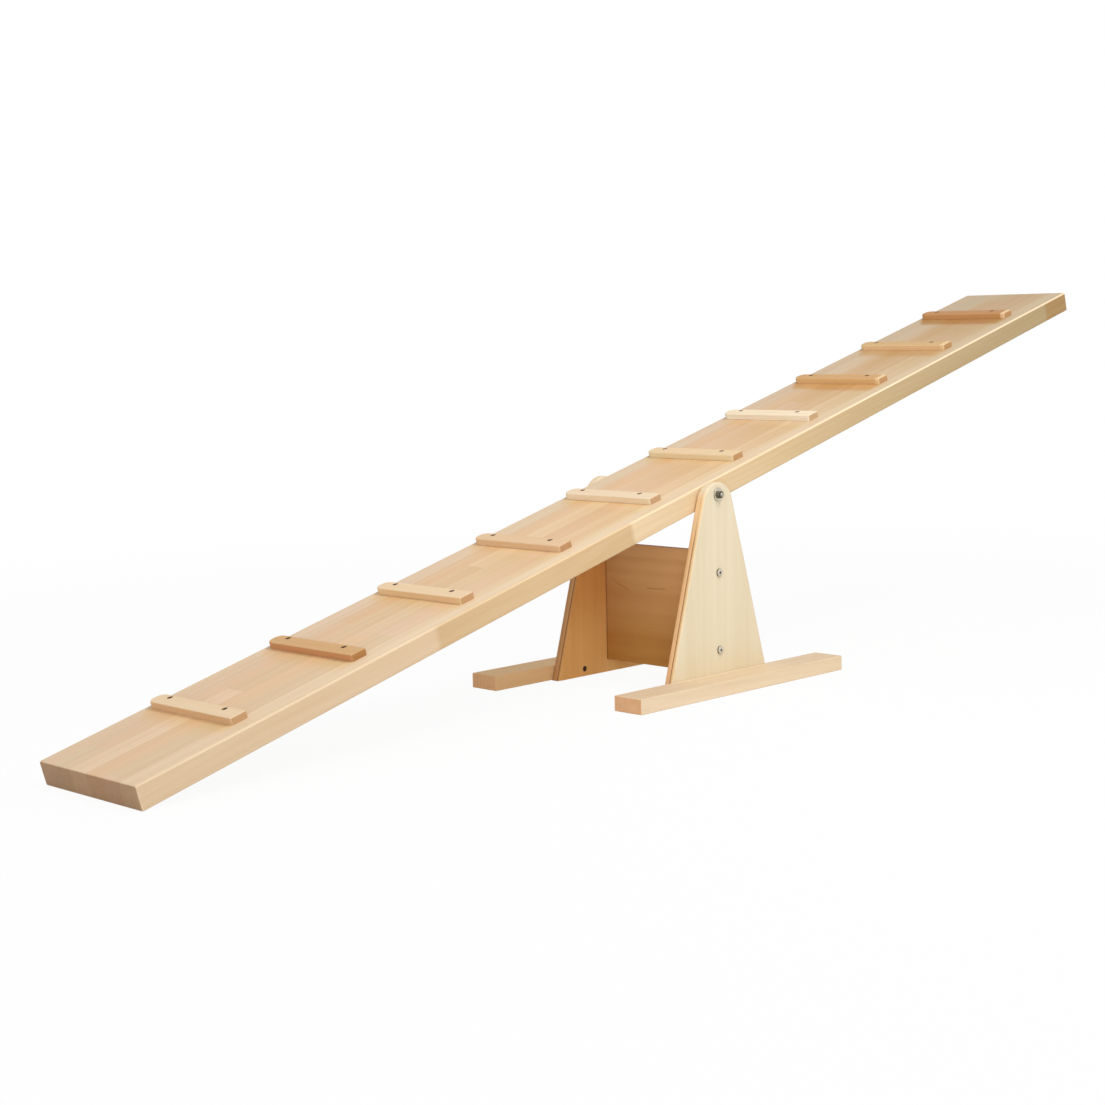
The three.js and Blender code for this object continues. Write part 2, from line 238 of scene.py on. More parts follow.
def inside(points: Array, loop: Array) -> Array:
    """Tells which points lie inside a loop: a level ray from them crosses the loop an odd number of times.

    Args:
        points: Flat points, shaped (n, 2).
        loop: The loop's points, shaped (m, 2).

    Returns:
        One truth value for each point.
    """
    start, end = loop[None, :, :], np.roll(loop, -1, axis=0)[None, :, :]
    at_u, at_v = points[:, None, 0], points[:, None, 1]
    straddles = (start[..., 1] > at_v) != (end[..., 1] > at_v)
    rise = np.where(straddles, end[..., 1] - start[..., 1], 1.0)
    crossing = start[..., 0] + (at_v - start[..., 1]) / rise * (end[..., 0] - start[..., 0])
    return ((straddles & (at_u < crossing)).sum(axis=1) % 2).astype(bool)


def triangles_between(outer: Array, holes: Sequence[Array]) -> Array:
    """Fills the flat region inside one loop and outside others.

    Args:
        outer: The outer loop's points, shaped (n, 2).
        holes: The inner loops' points.

    Returns:
        The triangles' corners, shaped (triangles, 3, 2).
    """
    loops = [outer, *holes]
    points = np.concatenate(loops)
    edges = []
    start = 0
    for loop in loops:
        edges += [(start + i, start + (i + 1) % len(loop)) for i in range(len(loop))]
        start += len(loop)
    made = delaunay_2d_cdt([Vector(point) for point in points / MM], edges, [], 0, FILLING_DISTANCE_MM, True)
    source = np.array([origin[0] for origin in made[3]])
    corners = points[source[np.array(made[2])]]
    middle = corners.mean(axis=1)
    wanted = inside(middle, outer)
    for hole in holes:
        wanted &= ~inside(middle, hole)
    return corners[wanted]


def circle(radius: float, segments: int, centre: tuple[float, float] = (0.0, 0.0)) -> Array:
    """Gives points on a circle: centre plus radius times (cos a, sin a)."""
    angle = np.linspace(0.0, 2 * math.pi, segments, endpoint=False)
    return np.array(centre) + radius * np.stack([np.cos(angle), np.sin(angle)], axis=1)


def closed(loop: Array) -> Array:
    """Gives a loop whose first point is repeated at its end."""
    return np.concatenate([loop, loop[:1]])


def raised(loop: Array, level: float) -> Array:
    """Gives flat points a place along w."""
    return np.concatenate([loop, np.full((len(loop), 1), level)], axis=1)


@dataclass(frozen=True)
class Outline:
    """A plate's outline seen along its thickness, run anticlockwise.

    shifts say how far and which way a point moves for each metre by which the outline is drawn in. An open
    outline is cut off square between its last and first points.
    """

    points: Array
    normals: Array
    shifts: Array
    open: bool = False

    def drawn_in(self, inset: Array) -> Array:
        """Gives the outline drawn in by each of several insets, shaped (insets, points, 2)."""
        return self.points[None] - inset[:, None, None] * self.shifts[None]


def rounded_rectangle(length: float, width: float, radii: Sequence[float], steps: int = 9) -> Outline:
    """Gives a rectangle with a quarter circle at each corner.

    A corner's points are its centre plus its radius times (cos a, sin a), and a runs on by a right angle from
    each corner to the next.

    Args:
        length: Size along u.
        width: Size along v.
        radii: The corners' radii in the order +u +v, -u +v, -u -v, +u -v.
        steps: Points on each corner.

    Returns:
        The outline.
    """
    angle = np.linspace(0.0, math.pi / 2, steps)[None, :] + math.pi / 2 * np.arange(4)[:, None]
    normals = np.stack([np.cos(angle), np.sin(angle)], axis=-1)
    radius = np.array(radii)[:, None, None]
    corner = np.array([[1.0, 1.0], [-1.0, 1.0], [-1.0, -1.0], [1.0, -1.0]])[:, None, :]
    centre = corner * (np.array([length, width]) / 2 - radius)
    points = (centre + radius * normals).reshape(-1, 2)
    normals = normals.reshape(-1, 2)
    return Outline(points, normals, normals)


def tapered_outline(half_base: float, top_radius: float, top_centre: float, steps: int = 33) -> Outline:
    """Gives an upright board whose straight sides run into a round top.

    The sides lean by the angle of the base corner seen from the round's centre, less the angle whose sine is
    the top radius over that distance. The ends at the floor move level when the outline is drawn in.

    Args:
        half_base: Half the width at the floor.
        top_radius: Radius of the round top.
        top_centre: Height of the round's centre.
        steps: Points on the round.

    Returns:
        The outline, open at the floor.
    """
    lean = math.atan2(half_base, top_centre) - math.asin(top_radius / math.hypot(half_base, top_centre))
    angle = np.linspace(lean, math.pi - lean, steps)
    arc = np.stack([np.cos(angle), np.sin(angle)], axis=1)
    normals = np.concatenate([arc[:1], arc, arc[-1:]])
    round_top = np.array([0.0, top_centre]) + top_radius * arc
    points = np.concatenate([[[half_base, 0.0]], round_top, [[-half_base, 0.0]]])
    shifts = normals.copy()
    shifts[[0, -1]] = np.stack([1 / normals[[0, -1], 0], np.zeros(2)], axis=1)
    return Outline(points, normals, shifts, open=True)


@dataclass(frozen=True)
class Hole:
    """A round hole along w, given as (place, radius) steps from the face in which it opens."""

    centre: tuple[float, float]
    steps: tuple[tuple[float, float], ...]
    through: bool = True
    segments: int = 32

    def rim(self, step: int) -> Array:
        """Gives the hole's circle at one of its steps."""
        return circle(self.steps[step][1], self.segments, self.centre)

    def sew(self, skin: Skin) -> None:
        """Adds the hole's wall, step by step, and its floor if it is blind.

        Between two steps the wall faces square to the step, towards the hole: with a step (along, out) the
        direction is (out times w) less (along times the outward radius), turned to the opening's side.
        """
        way = 1.0 if self.steps[-1][0] > self.steps[0][0] else -1.0
        out = closed(circle(1.0, self.segments))
        for step, ((start, wide), (end, narrow)) in enumerate(zip(self.steps[:-1], self.steps[1:])):
            along, outward = (end - start) * way, narrow - wide
            size = math.hypot(along, outward)
            facing = np.concatenate(
                [-along / size * out, np.full((len(out), 1), way * outward / size)], axis=1,
            )
            rows = [raised(closed(self.rim(step)), start), raised(closed(self.rim(step + 1)), end)]
            skin.grid(np.stack(rows), np.stack([facing, facing]))
        if not self.through:
            skin.sheet(self.rim(len(self.steps) - 1), [], self.steps[-1][0], -way)


@dataclass(frozen=True)
class Plate:
    """A board of one thickness whose long edges are rounded over.

    Its side is a function of two parameters, the place on the outline and the angle of the rounding: at angle
    a the outline is drawn in by radius times (1 - cos a) and lies radius times (1 - sin a) below the face.
    """

    outline: Outline
    low: float
    high: float
    round_low: float
    round_high: float
    holes: tuple[Hole, ...] = ()
    bore_radius: float = 0.0
    bore_level: float = 0.0
    bore_segments: int = 64
    rings: int = 7

    def sew(self, skin: Skin) -> None:
        """Adds the whole board to a skin."""
        turn = np.linspace(0.0, math.pi / 2, self.rings)
        below = -turn[::-1] if self.round_low else np.zeros(1)
        above = turn if self.round_high else np.zeros(1)
        angle = np.concatenate([below, above])
        radius = np.concatenate([np.full(len(below), self.round_low), np.full(len(above), self.round_high)])
        level = np.concatenate([
            self.low + self.round_low * (1 + np.sin(below)),
            self.high - self.round_high * (1 - np.sin(above)),
        ])
        flat = self.outline.drawn_in(radius * (1 - np.cos(angle)))
        count = flat.shape[1]
        points = np.concatenate([flat, np.broadcast_to(level[:, None, None], (len(level), count, 1))], axis=2)
        around = self.outline.normals[None] * np.cos(angle)[:, None, None]
        upward = np.broadcast_to(np.sin(angle)[:, None, None], (len(level), count, 1))
        normals = np.concatenate([around, upward], axis=2)
        if self.outline.open:
            base = points[:, [-1, 0]]
            skin.grid(base, np.broadcast_to(np.array([0.0, -1.0, 0.0]), base.shape))
        else:
            points = np.concatenate([points, points[:, :1]], axis=1)
            normals = np.concatenate([normals, normals[:, :1]], axis=1)
        if self.bore_radius:
            self._sew_bored_side(skin, points, normals, len(below))
        else:
            skin.grid(points, normals)
        for row, place, up in ((0, self.low, -1.0), (-1, self.high, 1.0)):
            rims = []
            for hole in self.holes:
                if hole.steps[0][0] == place:
                    rims.append(hole.rim(0))
                elif hole.through:
                    rims.append(hole.rim(len(hole.steps) - 1))
            skin.sheet(flat[row], rims, place, up)
        for hole in self.holes:
            hole.sew(skin)

    def _sew_bored_side(self, skin: Skin, points: Array, normals: Array, band: int) -> None:
        """Adds the side of a board that has a round bore right through it along v.

        Args:
            skin: The skin that gets the faces.
            points: The side's grid.
            normals: The directions that the grid faces.
            band: Number of the first row above the straight part of the side.
        """
        corner = (points.shape[1] - 1) // 4
        for start, stop in ((0, band), (band, len(points))):
            skin.grid(points[start:stop], normals[start:stop])
        sides = (corner - 1, 3 * corner - 1)
        breaks = [0, sides[0], sides[0] + 1, sides[1], sides[1] + 1, points.shape[1] - 1]
        for first, last in zip(breaks[:-1], breaks[1:]):
            if first not in sides:
                rows = slice(band - 1, band + 1)
                skin.grid(points[rows, first:last + 1], normals[rows, first:last + 1])
        ring = circle(self.bore_radius, self.bore_segments, (0.0, self.bore_level))
        walls = []
        for side in sides:
            window = points[[band - 1, band - 1, band, band], [side, side + 1, side + 1, side]]
            across = window[0, 1]
            flat = triangles_between(window[:, [0, 2]], [ring])
            corners = np.stack([flat[..., 0], np.full(flat.shape[:2], across), flat[..., 1]], axis=-1)
            skin.faces(corners, np.broadcast_to(np.array([0.0, np.sign(across), 0.0]), corners.shape))
            rim = closed(ring)
            walls.append(np.stack([rim[:, 0], np.full(len(rim), across), rim[:, 1]], axis=-1))
        inward = np.array([0.0, 0.0, self.bore_level]) - walls[0] * np.array([1.0, 0.0, 1.0])
        inward /= np.linalg.norm(inward, axis=1, keepdims=True)
        skin.grid(np.stack(walls), np.stack([inward, inward]))


@dataclass(frozen=True)
class Thread:
    """A screw thread between two places along w."""

    start: float
    end: float
    pitch: float
    depth: float
    places_each_turn: int = 8

    def cut(self, level: Array, angle: Array) -> Array:
        """Gives how deep the thread is cut at each place and angle.

        The depth rises and falls once in each pitch as a sharp wave of (place over pitch less turn), and it
        fades in and out over one pitch at either end.

        Args:
            level: Places along w.
            angle: Angles round w.

        Returns:
            Depths, shaped (places, angles).
        """
        phase = (level[:, None] / self.pitch - angle[None, :] / (2 * math.pi)) % 1.0
        wave = np.abs(2 * phase - 1)
        fade = np.clip(np.minimum(level - self.start, self.end - level) / self.pitch, 0.0, 1.0)
        return self.depth * fade[:, None] * wave

    def levels(self) -> Array:
        """Gives places along w that are close enough to show each turn."""
        count = int(self.places_each_turn * (self.end - self.start) / self.pitch)
        return np.linspace(self.start, self.end, max(count, 2))


def spin(skin: Skin, profile: Sequence[tuple[float, float]], segments: int,
         thread: Thread | None = None) -> None:
    """Adds a surface of revolution about w, with a thread cut into it if one is given.

    The surface is (r cos a, r sin a, place), where r is the profile's radius less the thread's depth there.

    Args:
        skin: The skin that gets the faces.
        profile: (radius, place) pairs in order. A piece is closed where it ends on the axis or on itself.
        segments: Faces round the axis.
        thread: The thread, which needs a stretch of profile whose places rise.
    """
    radius, level = np.array(profile, dtype=float).T
    angle = np.linspace(0.0, 2 * math.pi, segments + 1)
    if thread:
        extra = np.array([place for place in thread.levels() if level[0] < place < level[-1]])
        together = np.unique(np.concatenate([level, extra]))
        repeats = [together[together <= level[0]], together[(together > level[0]) & (together < level[-1])]]
        middle = np.concatenate(repeats + [level[-1:]])
        radius = np.concatenate([[radius[0]], np.interp(middle, level[1:-1], radius[1:-1]), [radius[-1]]])
        level = np.concatenate([[level[0]], middle, [level[-1]]])
    deep = thread.cut(level, angle) if thread else np.zeros((len(level), len(angle)))
    deep[radius <= 0] = 0.0
    reach = radius[:, None] - deep
    turning = np.stack([np.cos(angle), np.sin(angle)], axis=-1)[None]
    placed = np.broadcast_to(level[:, None, None], (*reach.shape, 1))
    skin.grid(np.concatenate([reach[..., None] * turning, placed], axis=-1))


def rolled_rim(radius: float, top: float, roll: float, steps: int = 5) -> list[tuple[float, float]]:
    """Gives the quarter round at the rim of a turned piece.

    At angle a it lies roll times (1 - cos a) inside the rim and roll times (1 - sin a) below the top.

    Args:
        radius: The rim's radius.
        top: The top's place along w.
        roll: Radius of the quarter round.
        steps: Points on it.

    Returns:
        (radius, place) pairs, from the rim to the top.
    """
    turn = np.linspace(0.0, math.pi / 2, steps)
    reach = radius - roll * (1 - np.cos(turn))
    place = top - roll * (1 - np.sin(turn))
    return list(zip(reach.tolist(), place.tolist()))


def recess(skin: Skin, rim: Array, shape: Array, top: float, floor: float, taper: float) -> None:
    """Adds a flat head with a driver's recess: the head's ring, the recess's walls and its floor.

    Args:
        skin: The skin that gets the faces.
        rim: The head's edge.
        shape: The recess's outline at the top.
        top: The head's place along w.
        floor: The recess floor's place along w.
        taper: Size of the floor as a share of the outline.
    """
    skin.sheet(rim, [shape], top)
    skin.grid(np.stack([raised(closed(shape), top), raised(closed(shape * taper), floor)]))
    skin.sheet(shape * taper, [], floor)


def cross_shape(span: float, width: float) -> Array:
    """Gives the outline of a crossed recess: two bars of one width, square to each other."""
    long, short = span / 2, width / 2
    quarter = np.array([[long, -short], [long, short], [short, short]])
    quarter_turn = np.array([[0.0, 1.0], [-1.0, 0.0]])
    return np.concatenate([quarter @ np.linalg.matrix_power(quarter_turn, turns) for turns in range(4)])


def hexagon(across_flats: float) -> Array:
    """Gives a hexagon's corners, with a flat facing +v."""
    return circle(across_flats / math.sqrt(3), 6)


class Wiring:
    """A material's nodes, joined by short calls."""

    def __init__(self, name: str) -> None:
        """Starts an empty material."""
        self.material = bpy.data.materials.new(name)
        self.material.use_nodes = True
        self.tree = self.material.node_tree
        self.tree.nodes.clear()

    def node(self, kind: str, *inputs: object, **settings: object) -> bpy.types.Node:
        """Adds a node.

        Args:
            kind: The node type without its ShaderNode prefix.
            inputs: Sockets or plain values for its inputs in order, with None to leave one alone.
            settings: Values for the node's own properties.

        Returns:
            The node.
        """
        made = self.tree.nodes.new(f"ShaderNode{kind}")
        for name, value in settings.items():
            setattr(made, name, value)
        for socket, value in zip(made.inputs, inputs):
            self.feed(socket, value)
        return made

    def feed(self, socket: Socket, value: object) -> None:
        """Gives an input a link or a plain value."""
        if isinstance(value, bpy.types.NodeSocket):
            self.tree.links.new(value, socket)
        elif value is not None:
            socket.default_value = value

    def math(self, operation: str, first: object, second: object = 0.0, third: object = 0.0) -> Socket:
        """Gives the result of one sum."""
        return self.node("Math", first, second, third, operation=operation).outputs[0]

    def scaled(self, value: object, factor: float, offset: float = 0.0) -> Socket:
        """Gives a value times a factor plus an offset."""
        return self.math("MULTIPLY_ADD", value, factor, offset)

    def product(self, *shares: object) -> Socket:
        """Gives several values multiplied together."""
        total = shares[0]
        for share in shares[1:]:
            total = self.math("MULTIPLY", total, share)
        return total

    def smooth(self, value: object, low: object, high: object, start: object = 0.0,
               end: object = 1.0) -> Socket:
        """Gives a value that eases from start to end while another goes from low to high."""
        return self.node(
            "MapRange", value, low, high, start, end, interpolation_type="SMOOTHSTEP",
        ).outputs[0]

    def noise(self, place: Sequence[object], scale: Sequence[float], detail: float,
              offset: float = 0.0) -> Socket:
        """Gives soft noise between 0 and 1.

        Args:
            place: Three places.
            scale: How many grains of noise each of them has to the metre.
            detail: How many finer layers the noise has.
            offset: How many grains the first place is moved by.

        Returns:
            The noise.
        """
        scaled = [self.scaled(*terms) for terms in zip(place, scale, (offset, 0.0, 0.0))]
        grains = self.node("CombineXYZ", *scaled).outputs[0]
        return self.node("TexNoise", grains, None, 1.0, detail, 0.5).outputs[0]

    def facing(self, way: Sequence[float]) -> Socket:
        """Gives 1 where the surface faces one way and -1 where it faces the other way."""
        normal = self.node("TexCoord").outputs["Normal"]
        return self.node("VectorMath", normal, tuple(way), operation="DOT_PRODUCT").outputs["Value"]

    def mix(self, share: object, first: object, second: object, blend: str = "MIX") -> Socket:
        """Gives two colours mixed."""
        made = self.node("Mix", data_type="RGBA", blend_type=blend)
        for slot, value in ((0, share), (6, first), (7, second)):
            self.feed(made.inputs[slot], (*value, 1.0) if isinstance(value, tuple) else value)
        return made.outputs[2]

    def times(self, colour: object, tint: object) -> Socket:
        """Gives a colour multiplied by a tint."""
        return self.mix(1.0, colour, tint, "MULTIPLY")

    def tinted(self, colour: object, tint: object, share: object) -> Socket:
        """Gives a colour that takes a share of a tint."""
        return self.mix(share, colour, self.times(colour, tint))

    def ramp(self, value: object, stops: Sequence[tuple[float, Colour]], step: bool = False) -> Socket:
        """Gives a colour from a row of places and colours, in steps or blended."""
        made = self.node("ValToRGB", value)
        band = made.color_ramp
        band.interpolation = "CONSTANT" if step else "LINEAR"
        while len(band.elements) < len(stops):
            band.elements.new(1.0)
        for element, (place, colour) in zip(band.elements, stops):
            element.position = place
            element.color = (*colour, 1.0)
        return made.outputs[0]

    def finish(self, colour: object, roughness: object, metallic: float, bump: object, depth: float,
               specular: float = 0.5) -> bpy.types.Material:
        """Joins everything to one surface shader.

        Args:
            colour: The surface's colour.
            roughness: Its roughness.
            metallic: 1 for bare metal, 0 for anything else.
            bump: Height of its fine relief, from 0 to 1.
            depth: How deep that relief is.
            specular: How strongly it mirrors.

        Returns:
            The material.
        """
        shader = self.node("BsdfPrincipled")
        self.feed(shader.inputs["Base Color"], colour)
        self.feed(shader.inputs["Roughness"], roughness)
        shader.inputs["Metallic"].default_value = metallic
        shader.inputs["Specular IOR Level"].default_value = specular
        relief = self.node("Bump")
        relief.inputs["Strength"].default_value = 1.0
        relief.inputs["Distance"].default_value = depth
        self.feed(relief.inputs["Height"], bump)
        self.feed(shader.inputs["Normal"], relief.outputs[0])
        output = self.node("OutputMaterial")
        self.feed(output.inputs["Surface"], shader.outputs[0])
        return self.material


class Grain(Enum):
    """Which local axes run along, across and through the grain of a piece of wood."""

    ALONG_X = (0, 1, 2)
    ALONG_Y = (1, 0, 2)
    UPRIGHT = (2, 0, 1)
    LEVEL_PANEL = (1, 2, 0)


class Spot(NamedTuple):
    """The place in a piece of wood that is being coloured, in metres along, across and through its grain."""

    along: Socket
    across: Socket
    through: Socket


@dataclass(frozen=True)
class WoodFinish:
    """Clear lacquered wood, worked out as a solid so that rings, fibres and end grain meet at every edge.

    A scale says how many grains a noise has to the metre along, across and through the wood.
    """

    name: str
    grain: Grain
    tone: Colour
    low_tint: Colour = (0.86, 0.77, 0.64)
    high_tint: Colour = (1.05, 1.06, 1.07)
    end_tint: Colour = (0.66, 0.55, 0.45)
    end_span: tuple[float, float] = (0.55, 0.9)
    drift_tint: Colour = (0.97, 0.95, 0.9)
    drift_scale: tuple[float, float, float] = (1.1, 9.0, 9.0)
    drift_span: tuple[float, float] = (0.3, 0.7)
    ring_spacing: float = 7 * MM
    ring_strength: float = 0.10
    latewood_span: tuple[float, float] = (-0.4, 1.0)
    pith: tuple[float, float] = (12 * MM, -60 * MM)
    wander_reach: float = 50 * MM
    wander_scale: tuple[float, float, float] = (1.6, 11.0, 11.0)
    fibre_strength: float = 0.4
    fibre_scale: tuple[float, float, float] = (24.0, 800.0, 800.0)
    fibre_relief: float = 0.05 * MM
    streak_strength: float = 0.7
    streak_scale: tuple[float, float, float] = (2.4, 75.0, 75.0)
    roughness: float = 0.5
    roughness_change: float = 0.10
    specular: float = 0.08
    seed: float = 0.0
    on_rocker: bool = False

    def material(self) -> bpy.types.Material:
        """Makes the finish's material."""
        wiring = Wiring(self.name)
        spot = self.spot(wiring)
        value, fibre = self.figure(wiring, spot, self.seed)
        tone = self.toned(wiring, spot)
        body = wiring.mix(value, wiring.times(tone, self.low_tint), wiring.times(tone, self.high_tint))
        colour = wiring.tinted(body, self.end_tint, self.end_grain(wiring))
        rough = wiring.scaled(fibre, self.roughness_change, self.roughness - self.roughness_change / 2)
        return wiring.finish(colour, rough, 0.0, fibre, self.fibre_relief, self.specular)

    def spot(self, wiring: Wiring) -> Spot:
        """Gives the place in the wood, in the piece's own frame."""
        place = wiring.node("TexCoord").outputs["Object"]
        if self.on_rocker:
            place = wiring.node("Mapping", place, vector_type="TEXTURE")
            rest = rocker_place()
            place.inputs["Location"].default_value = rest.origin
            place.inputs["Rotation"].default_value = (0.0, -math.atan2(rest.u[2], rest.u[0]), 0.0)
            place = place.outputs[0]
        parts = wiring.node("SeparateXYZ", place).outputs
        return Spot(*(parts[index] for index in self.grain.value))

    def figure(self, wiring: Wiring, spot: Spot, seed: object) -> tuple[Socket, Socket]:
        """Gives the wood's figure.

        Growth rings are the sine of the distance from a wandering pith over the ring spacing. Streaks and
        fibres are noise that is drawn out along the grain.

        Args:
            wiring: The material's nodes.
            spot: The place in the wood.
            seed: How far the pattern is moved along the grain.

        Returns:
            The whole figure from 0 to 1, and the fibres alone.
        """
        moved = spot._replace(along=wiring.math("ADD", spot.along, seed))
        wander = wiring.noise(moved, self.wander_scale, 1.0)
        wander = wiring.scaled(wander, self.wander_reach, -self.wander_reach / 2)
        side = wiring.math("ADD", wiring.scaled(spot.across, 1.0, self.pith[0]), wander)
        depth = wiring.scaled(spot.through, 1.0, self.pith[1])
        squares = wiring.math("ADD", wiring.product(side, side), wiring.product(depth, depth))
        distance = wiring.math("SQRT", squares)
        ring = wiring.math("SINE", wiring.scaled(distance, 2 * math.pi / self.ring_spacing))
        fibre = wiring.noise(moved, self.fibre_scale, 2.0)
        layers = (
            (wiring.noise(moved, self.streak_scale, 2.0), self.streak_strength), (fibre, self.fibre_strength),
            (wiring.smooth(ring, *self.latewood_span), -self.ring_strength),
        )
        value = 0.5
        for layer, strength in layers:
            value = wiring.math("ADD", value, wiring.scaled(layer, strength, -0.5 * strength))
        return wiring.math("MINIMUM", wiring.math("MAXIMUM", value, 0.0), 1.0), fibre

    def toned(self, wiring: Wiring, spot: Spot) -> Socket:
        """Gives the wood's main colour before its figure."""
        drift = wiring.noise(spot, self.drift_scale, 1.0, self.seed)
        return wiring.tinted(self.tone, self.drift_tint, wiring.smooth(drift, *self.drift_span))

    def end_grain(self, wiring: Wiring) -> Socket:
        """Gives 1 where the surface cuts across the grain and 0 where it runs along it."""
        axis = np.zeros(3)
        axis[self.grain.value[0]] = 1.0
        if self.on_rocker:
            axis = rocker_place().turned(axis)
        return wiring.smooth(wiring.math("ABSOLUTE", wiring.facing(axis.tolist())), *self.end_span)


@dataclass(frozen=True)
class GluedPlankFinish(WoodFinish):
    """Lacquered wood that is glued up from long staves, each made of shorter pieces laid end to end.

    On its top sit painted reflections of the cleats close before each, and a painted warm glow further out.
    """

    width: float = 0.0
    cleat_edge: float = 0.0
    cleat_pitch: float = 0.0
    cleat_near: float = 0.0
    cleat_far: float = 0.0
    stave_width: float = 41.67 * MM
    stave_figure_shift: float = 3.71
    piece_length: float = 520 * MM
    piece_shift: float = 17.31
    first_piece: float = 4.0
    tones: tuple[Colour, ...] = (
        srgb(237, 207, 180), srgb(232, 199, 165), srgb(241, 215, 186), srgb(233, 197, 160),
        srgb(231, 206, 174), srgb(238, 208, 176),
    )
    glue_tint: Colour = (0.62, 0.5, 0.38)
    glue_span: tuple[float, float] = (0.488, 0.499)
    glue_share: float = 0.25
    near_tone: Colour = srgb(241, 219, 189)
    near_share: float = 0.8
    far_tint: Colour = (0.99, 1.06, 1.16)
    far_span: tuple[float, float] = (55 * MM, 95 * MM)
    edge_tones: tuple[tuple[float, Colour], ...] = (
        (-1.300, srgb(236, 214, 184)), (-0.680, srgb(238, 215, 185)), (-0.679, srgb(225, 197, 157)),
        (-0.450, srgb(233, 206, 168)), (-0.207, srgb(229, 202, 162)), (-0.206, srgb(249, 228, 194)),
        (0.150, srgb(241, 216, 177)), (0.450, srgb(231, 206, 165)), (1.165, srgb(229, 204, 164)),
        (1.166, srgb(220, 182, 131)),
    )
    edge_span: tuple[float, float] = (2.8 * MM, 3.6 * MM)
    # Painted highlight along the near top edge, fainter at the low end.
    painted_highlight_tone: Colour = srgb(252, 232, 201)
    painted_highlight_along: tuple[float, float] = (0.0, 0.6)
    painted_highlight_across: tuple[float, float] = (2.6 * MM, 3.4 * MM)
    painted_highlight_height: tuple[float, float] = (18.3 * MM, 19.3 * MM)
    painted_highlight_low_share: float = 0.35
    top_height: tuple[float, float] = (16 * MM, 18 * MM)
    near_blend: tuple[float, float] = (-12 * MM, 6 * MM)
    far_blend: tuple[float, float] = (-6 * MM, 4 * MM)
    # Painted reflection of each cleat's front in the top, in that cleat's tint, with a slanted far end.
    painted_reflection_width: float = 52 * MM
    painted_reflection_hold: float = 26 * MM
    painted_reflection_hold_span: tuple[float, float] = (0.1, 0.3)
    painted_reflection_slant: float = 0.65
    painted_reflection_tints: tuple[tuple[float, Colour], ...] = (
        (-1.30, (0.98, 0.91, 0.72)), (0.13, (1.0, 0.97, 0.88)), (0.36, (0.90, 0.69, 0.43)),
        (0.60, (0.94, 0.80, 0.60)), (0.83, (0.79, 0.58, 0.33)), (1.07, (1.0, 1.0, 1.0)),
    )
    # Painted warm glow of light bounced from the cleats, a few centimetres before each one.
    painted_glow_tint: Colour = (0.95, 0.90, 0.77)
    painted_glow_rise: tuple[float, float] = (15 * MM, 40 * MM)
    painted_glow_fade: tuple[float, float] = (45 * MM, 200 * MM)
    painted_glow_rest: float = 0.4
    painted_glow_far: tuple[float, float] = (10 * MM, 60 * MM)
    painted_glow_start: tuple[float, float] = (-0.75, -0.35)
    painted_glow_end: tuple[float, float] = (1.05, 1.15)
    painted_glow_end_share: float = 0.5
    # Painted shade: the plank greys and darkens towards the high end.
    high_end_shade_span: tuple[float, float] = (-0.3, 1.3)
    high_end_shade_tint: Colour = (0.71, 0.73, 0.71)

    def counted_staves(self, wiring: Wiring, spot: Spot) -> Socket:
        """Gives the place across the plank as a number of staves from the near edge."""
        return wiring.scaled(spot.across, 1 / self.stave_width, self.width / 2 / self.stave_width)

    def figure(self, wiring: Wiring, spot: Spot, seed: object) -> tuple[Socket, Socket]:
        """Gives each stave a figure of its own by moving the pattern along it."""
        stave = wiring.math("FLOOR", self.counted_staves(wiring, spot))
        return super().figure(wiring, spot, wiring.scaled(stave, self.stave_figure_shift, seed))

    def toned(self, wiring: Wiring, spot: Spot) -> Socket:
        """Gives each short piece its own tone, and adds glue lines, the near side and painted light and
        shade.

        Args:
            wiring: The material's nodes.
            spot: The place in the plank.

        Returns:
            The colour.
        """
        staves = self.counted_staves(wiring, spot)
        stave = wiring.math("FLOOR", staves)
        piece = wiring.node("TexVoronoi", voronoi_dimensions="1D")
        shift = wiring.scaled(stave, self.piece_shift, self.first_piece)
        lengths = wiring.scaled(spot.along, 1 / self.piece_length)
        wiring.feed(piece.inputs["W"], wiring.math("ADD", lengths, shift))
        piece.inputs["Scale"].default_value = 1.0
        pick = wiring.node("SeparateXYZ", piece.outputs["Color"]).outputs[0]
        share = 1 / (len(self.tones) - 1)
        tone = wiring.ramp(pick, [(index * share, colour) for index, colour in enumerate(self.tones)])
        tone = wiring.mix(wiring.smooth(stave, 0.4, 0.6, self.near_share, 0.0), tone, self.near_tone)
        tone = wiring.tinted(tone, self.far_tint, wiring.smooth(spot.across, *self.far_span))
        side = self.along_plank(wiring, spot, self.edge_tones)
        tone = wiring.mix(self.at_near_edge(wiring, spot, self.edge_span), tone, side)
        off_middle = wiring.math("ABSOLUTE", wiring.scaled(wiring.math("FRACT", staves), 1.0, -0.5))
        glue = wiring.smooth(off_middle, *self.glue_span, 0.0, self.glue_share)
        tone = wiring.tinted(tone, self.glue_tint, glue)
        # Painted reflection of each cleat's front, in a tint that steps from cleat to cleat.
        painted_light_tint = self.along_plank(wiring, spot, self.painted_reflection_tints, step=True)
        tone = wiring.tinted(tone, painted_light_tint, self.painted_reflection_band(wiring, spot))
        # Painted warm glow of light bounced from the cleats.
        tone = wiring.tinted(tone, self.painted_glow_tint, self.painted_glow_band(wiring, spot))
        # Painted shade, deepening towards the high end.
        tone = wiring.tinted(tone, self.high_end_shade_tint, wiring.smooth(spot.along, *self.high_end_shade_span))
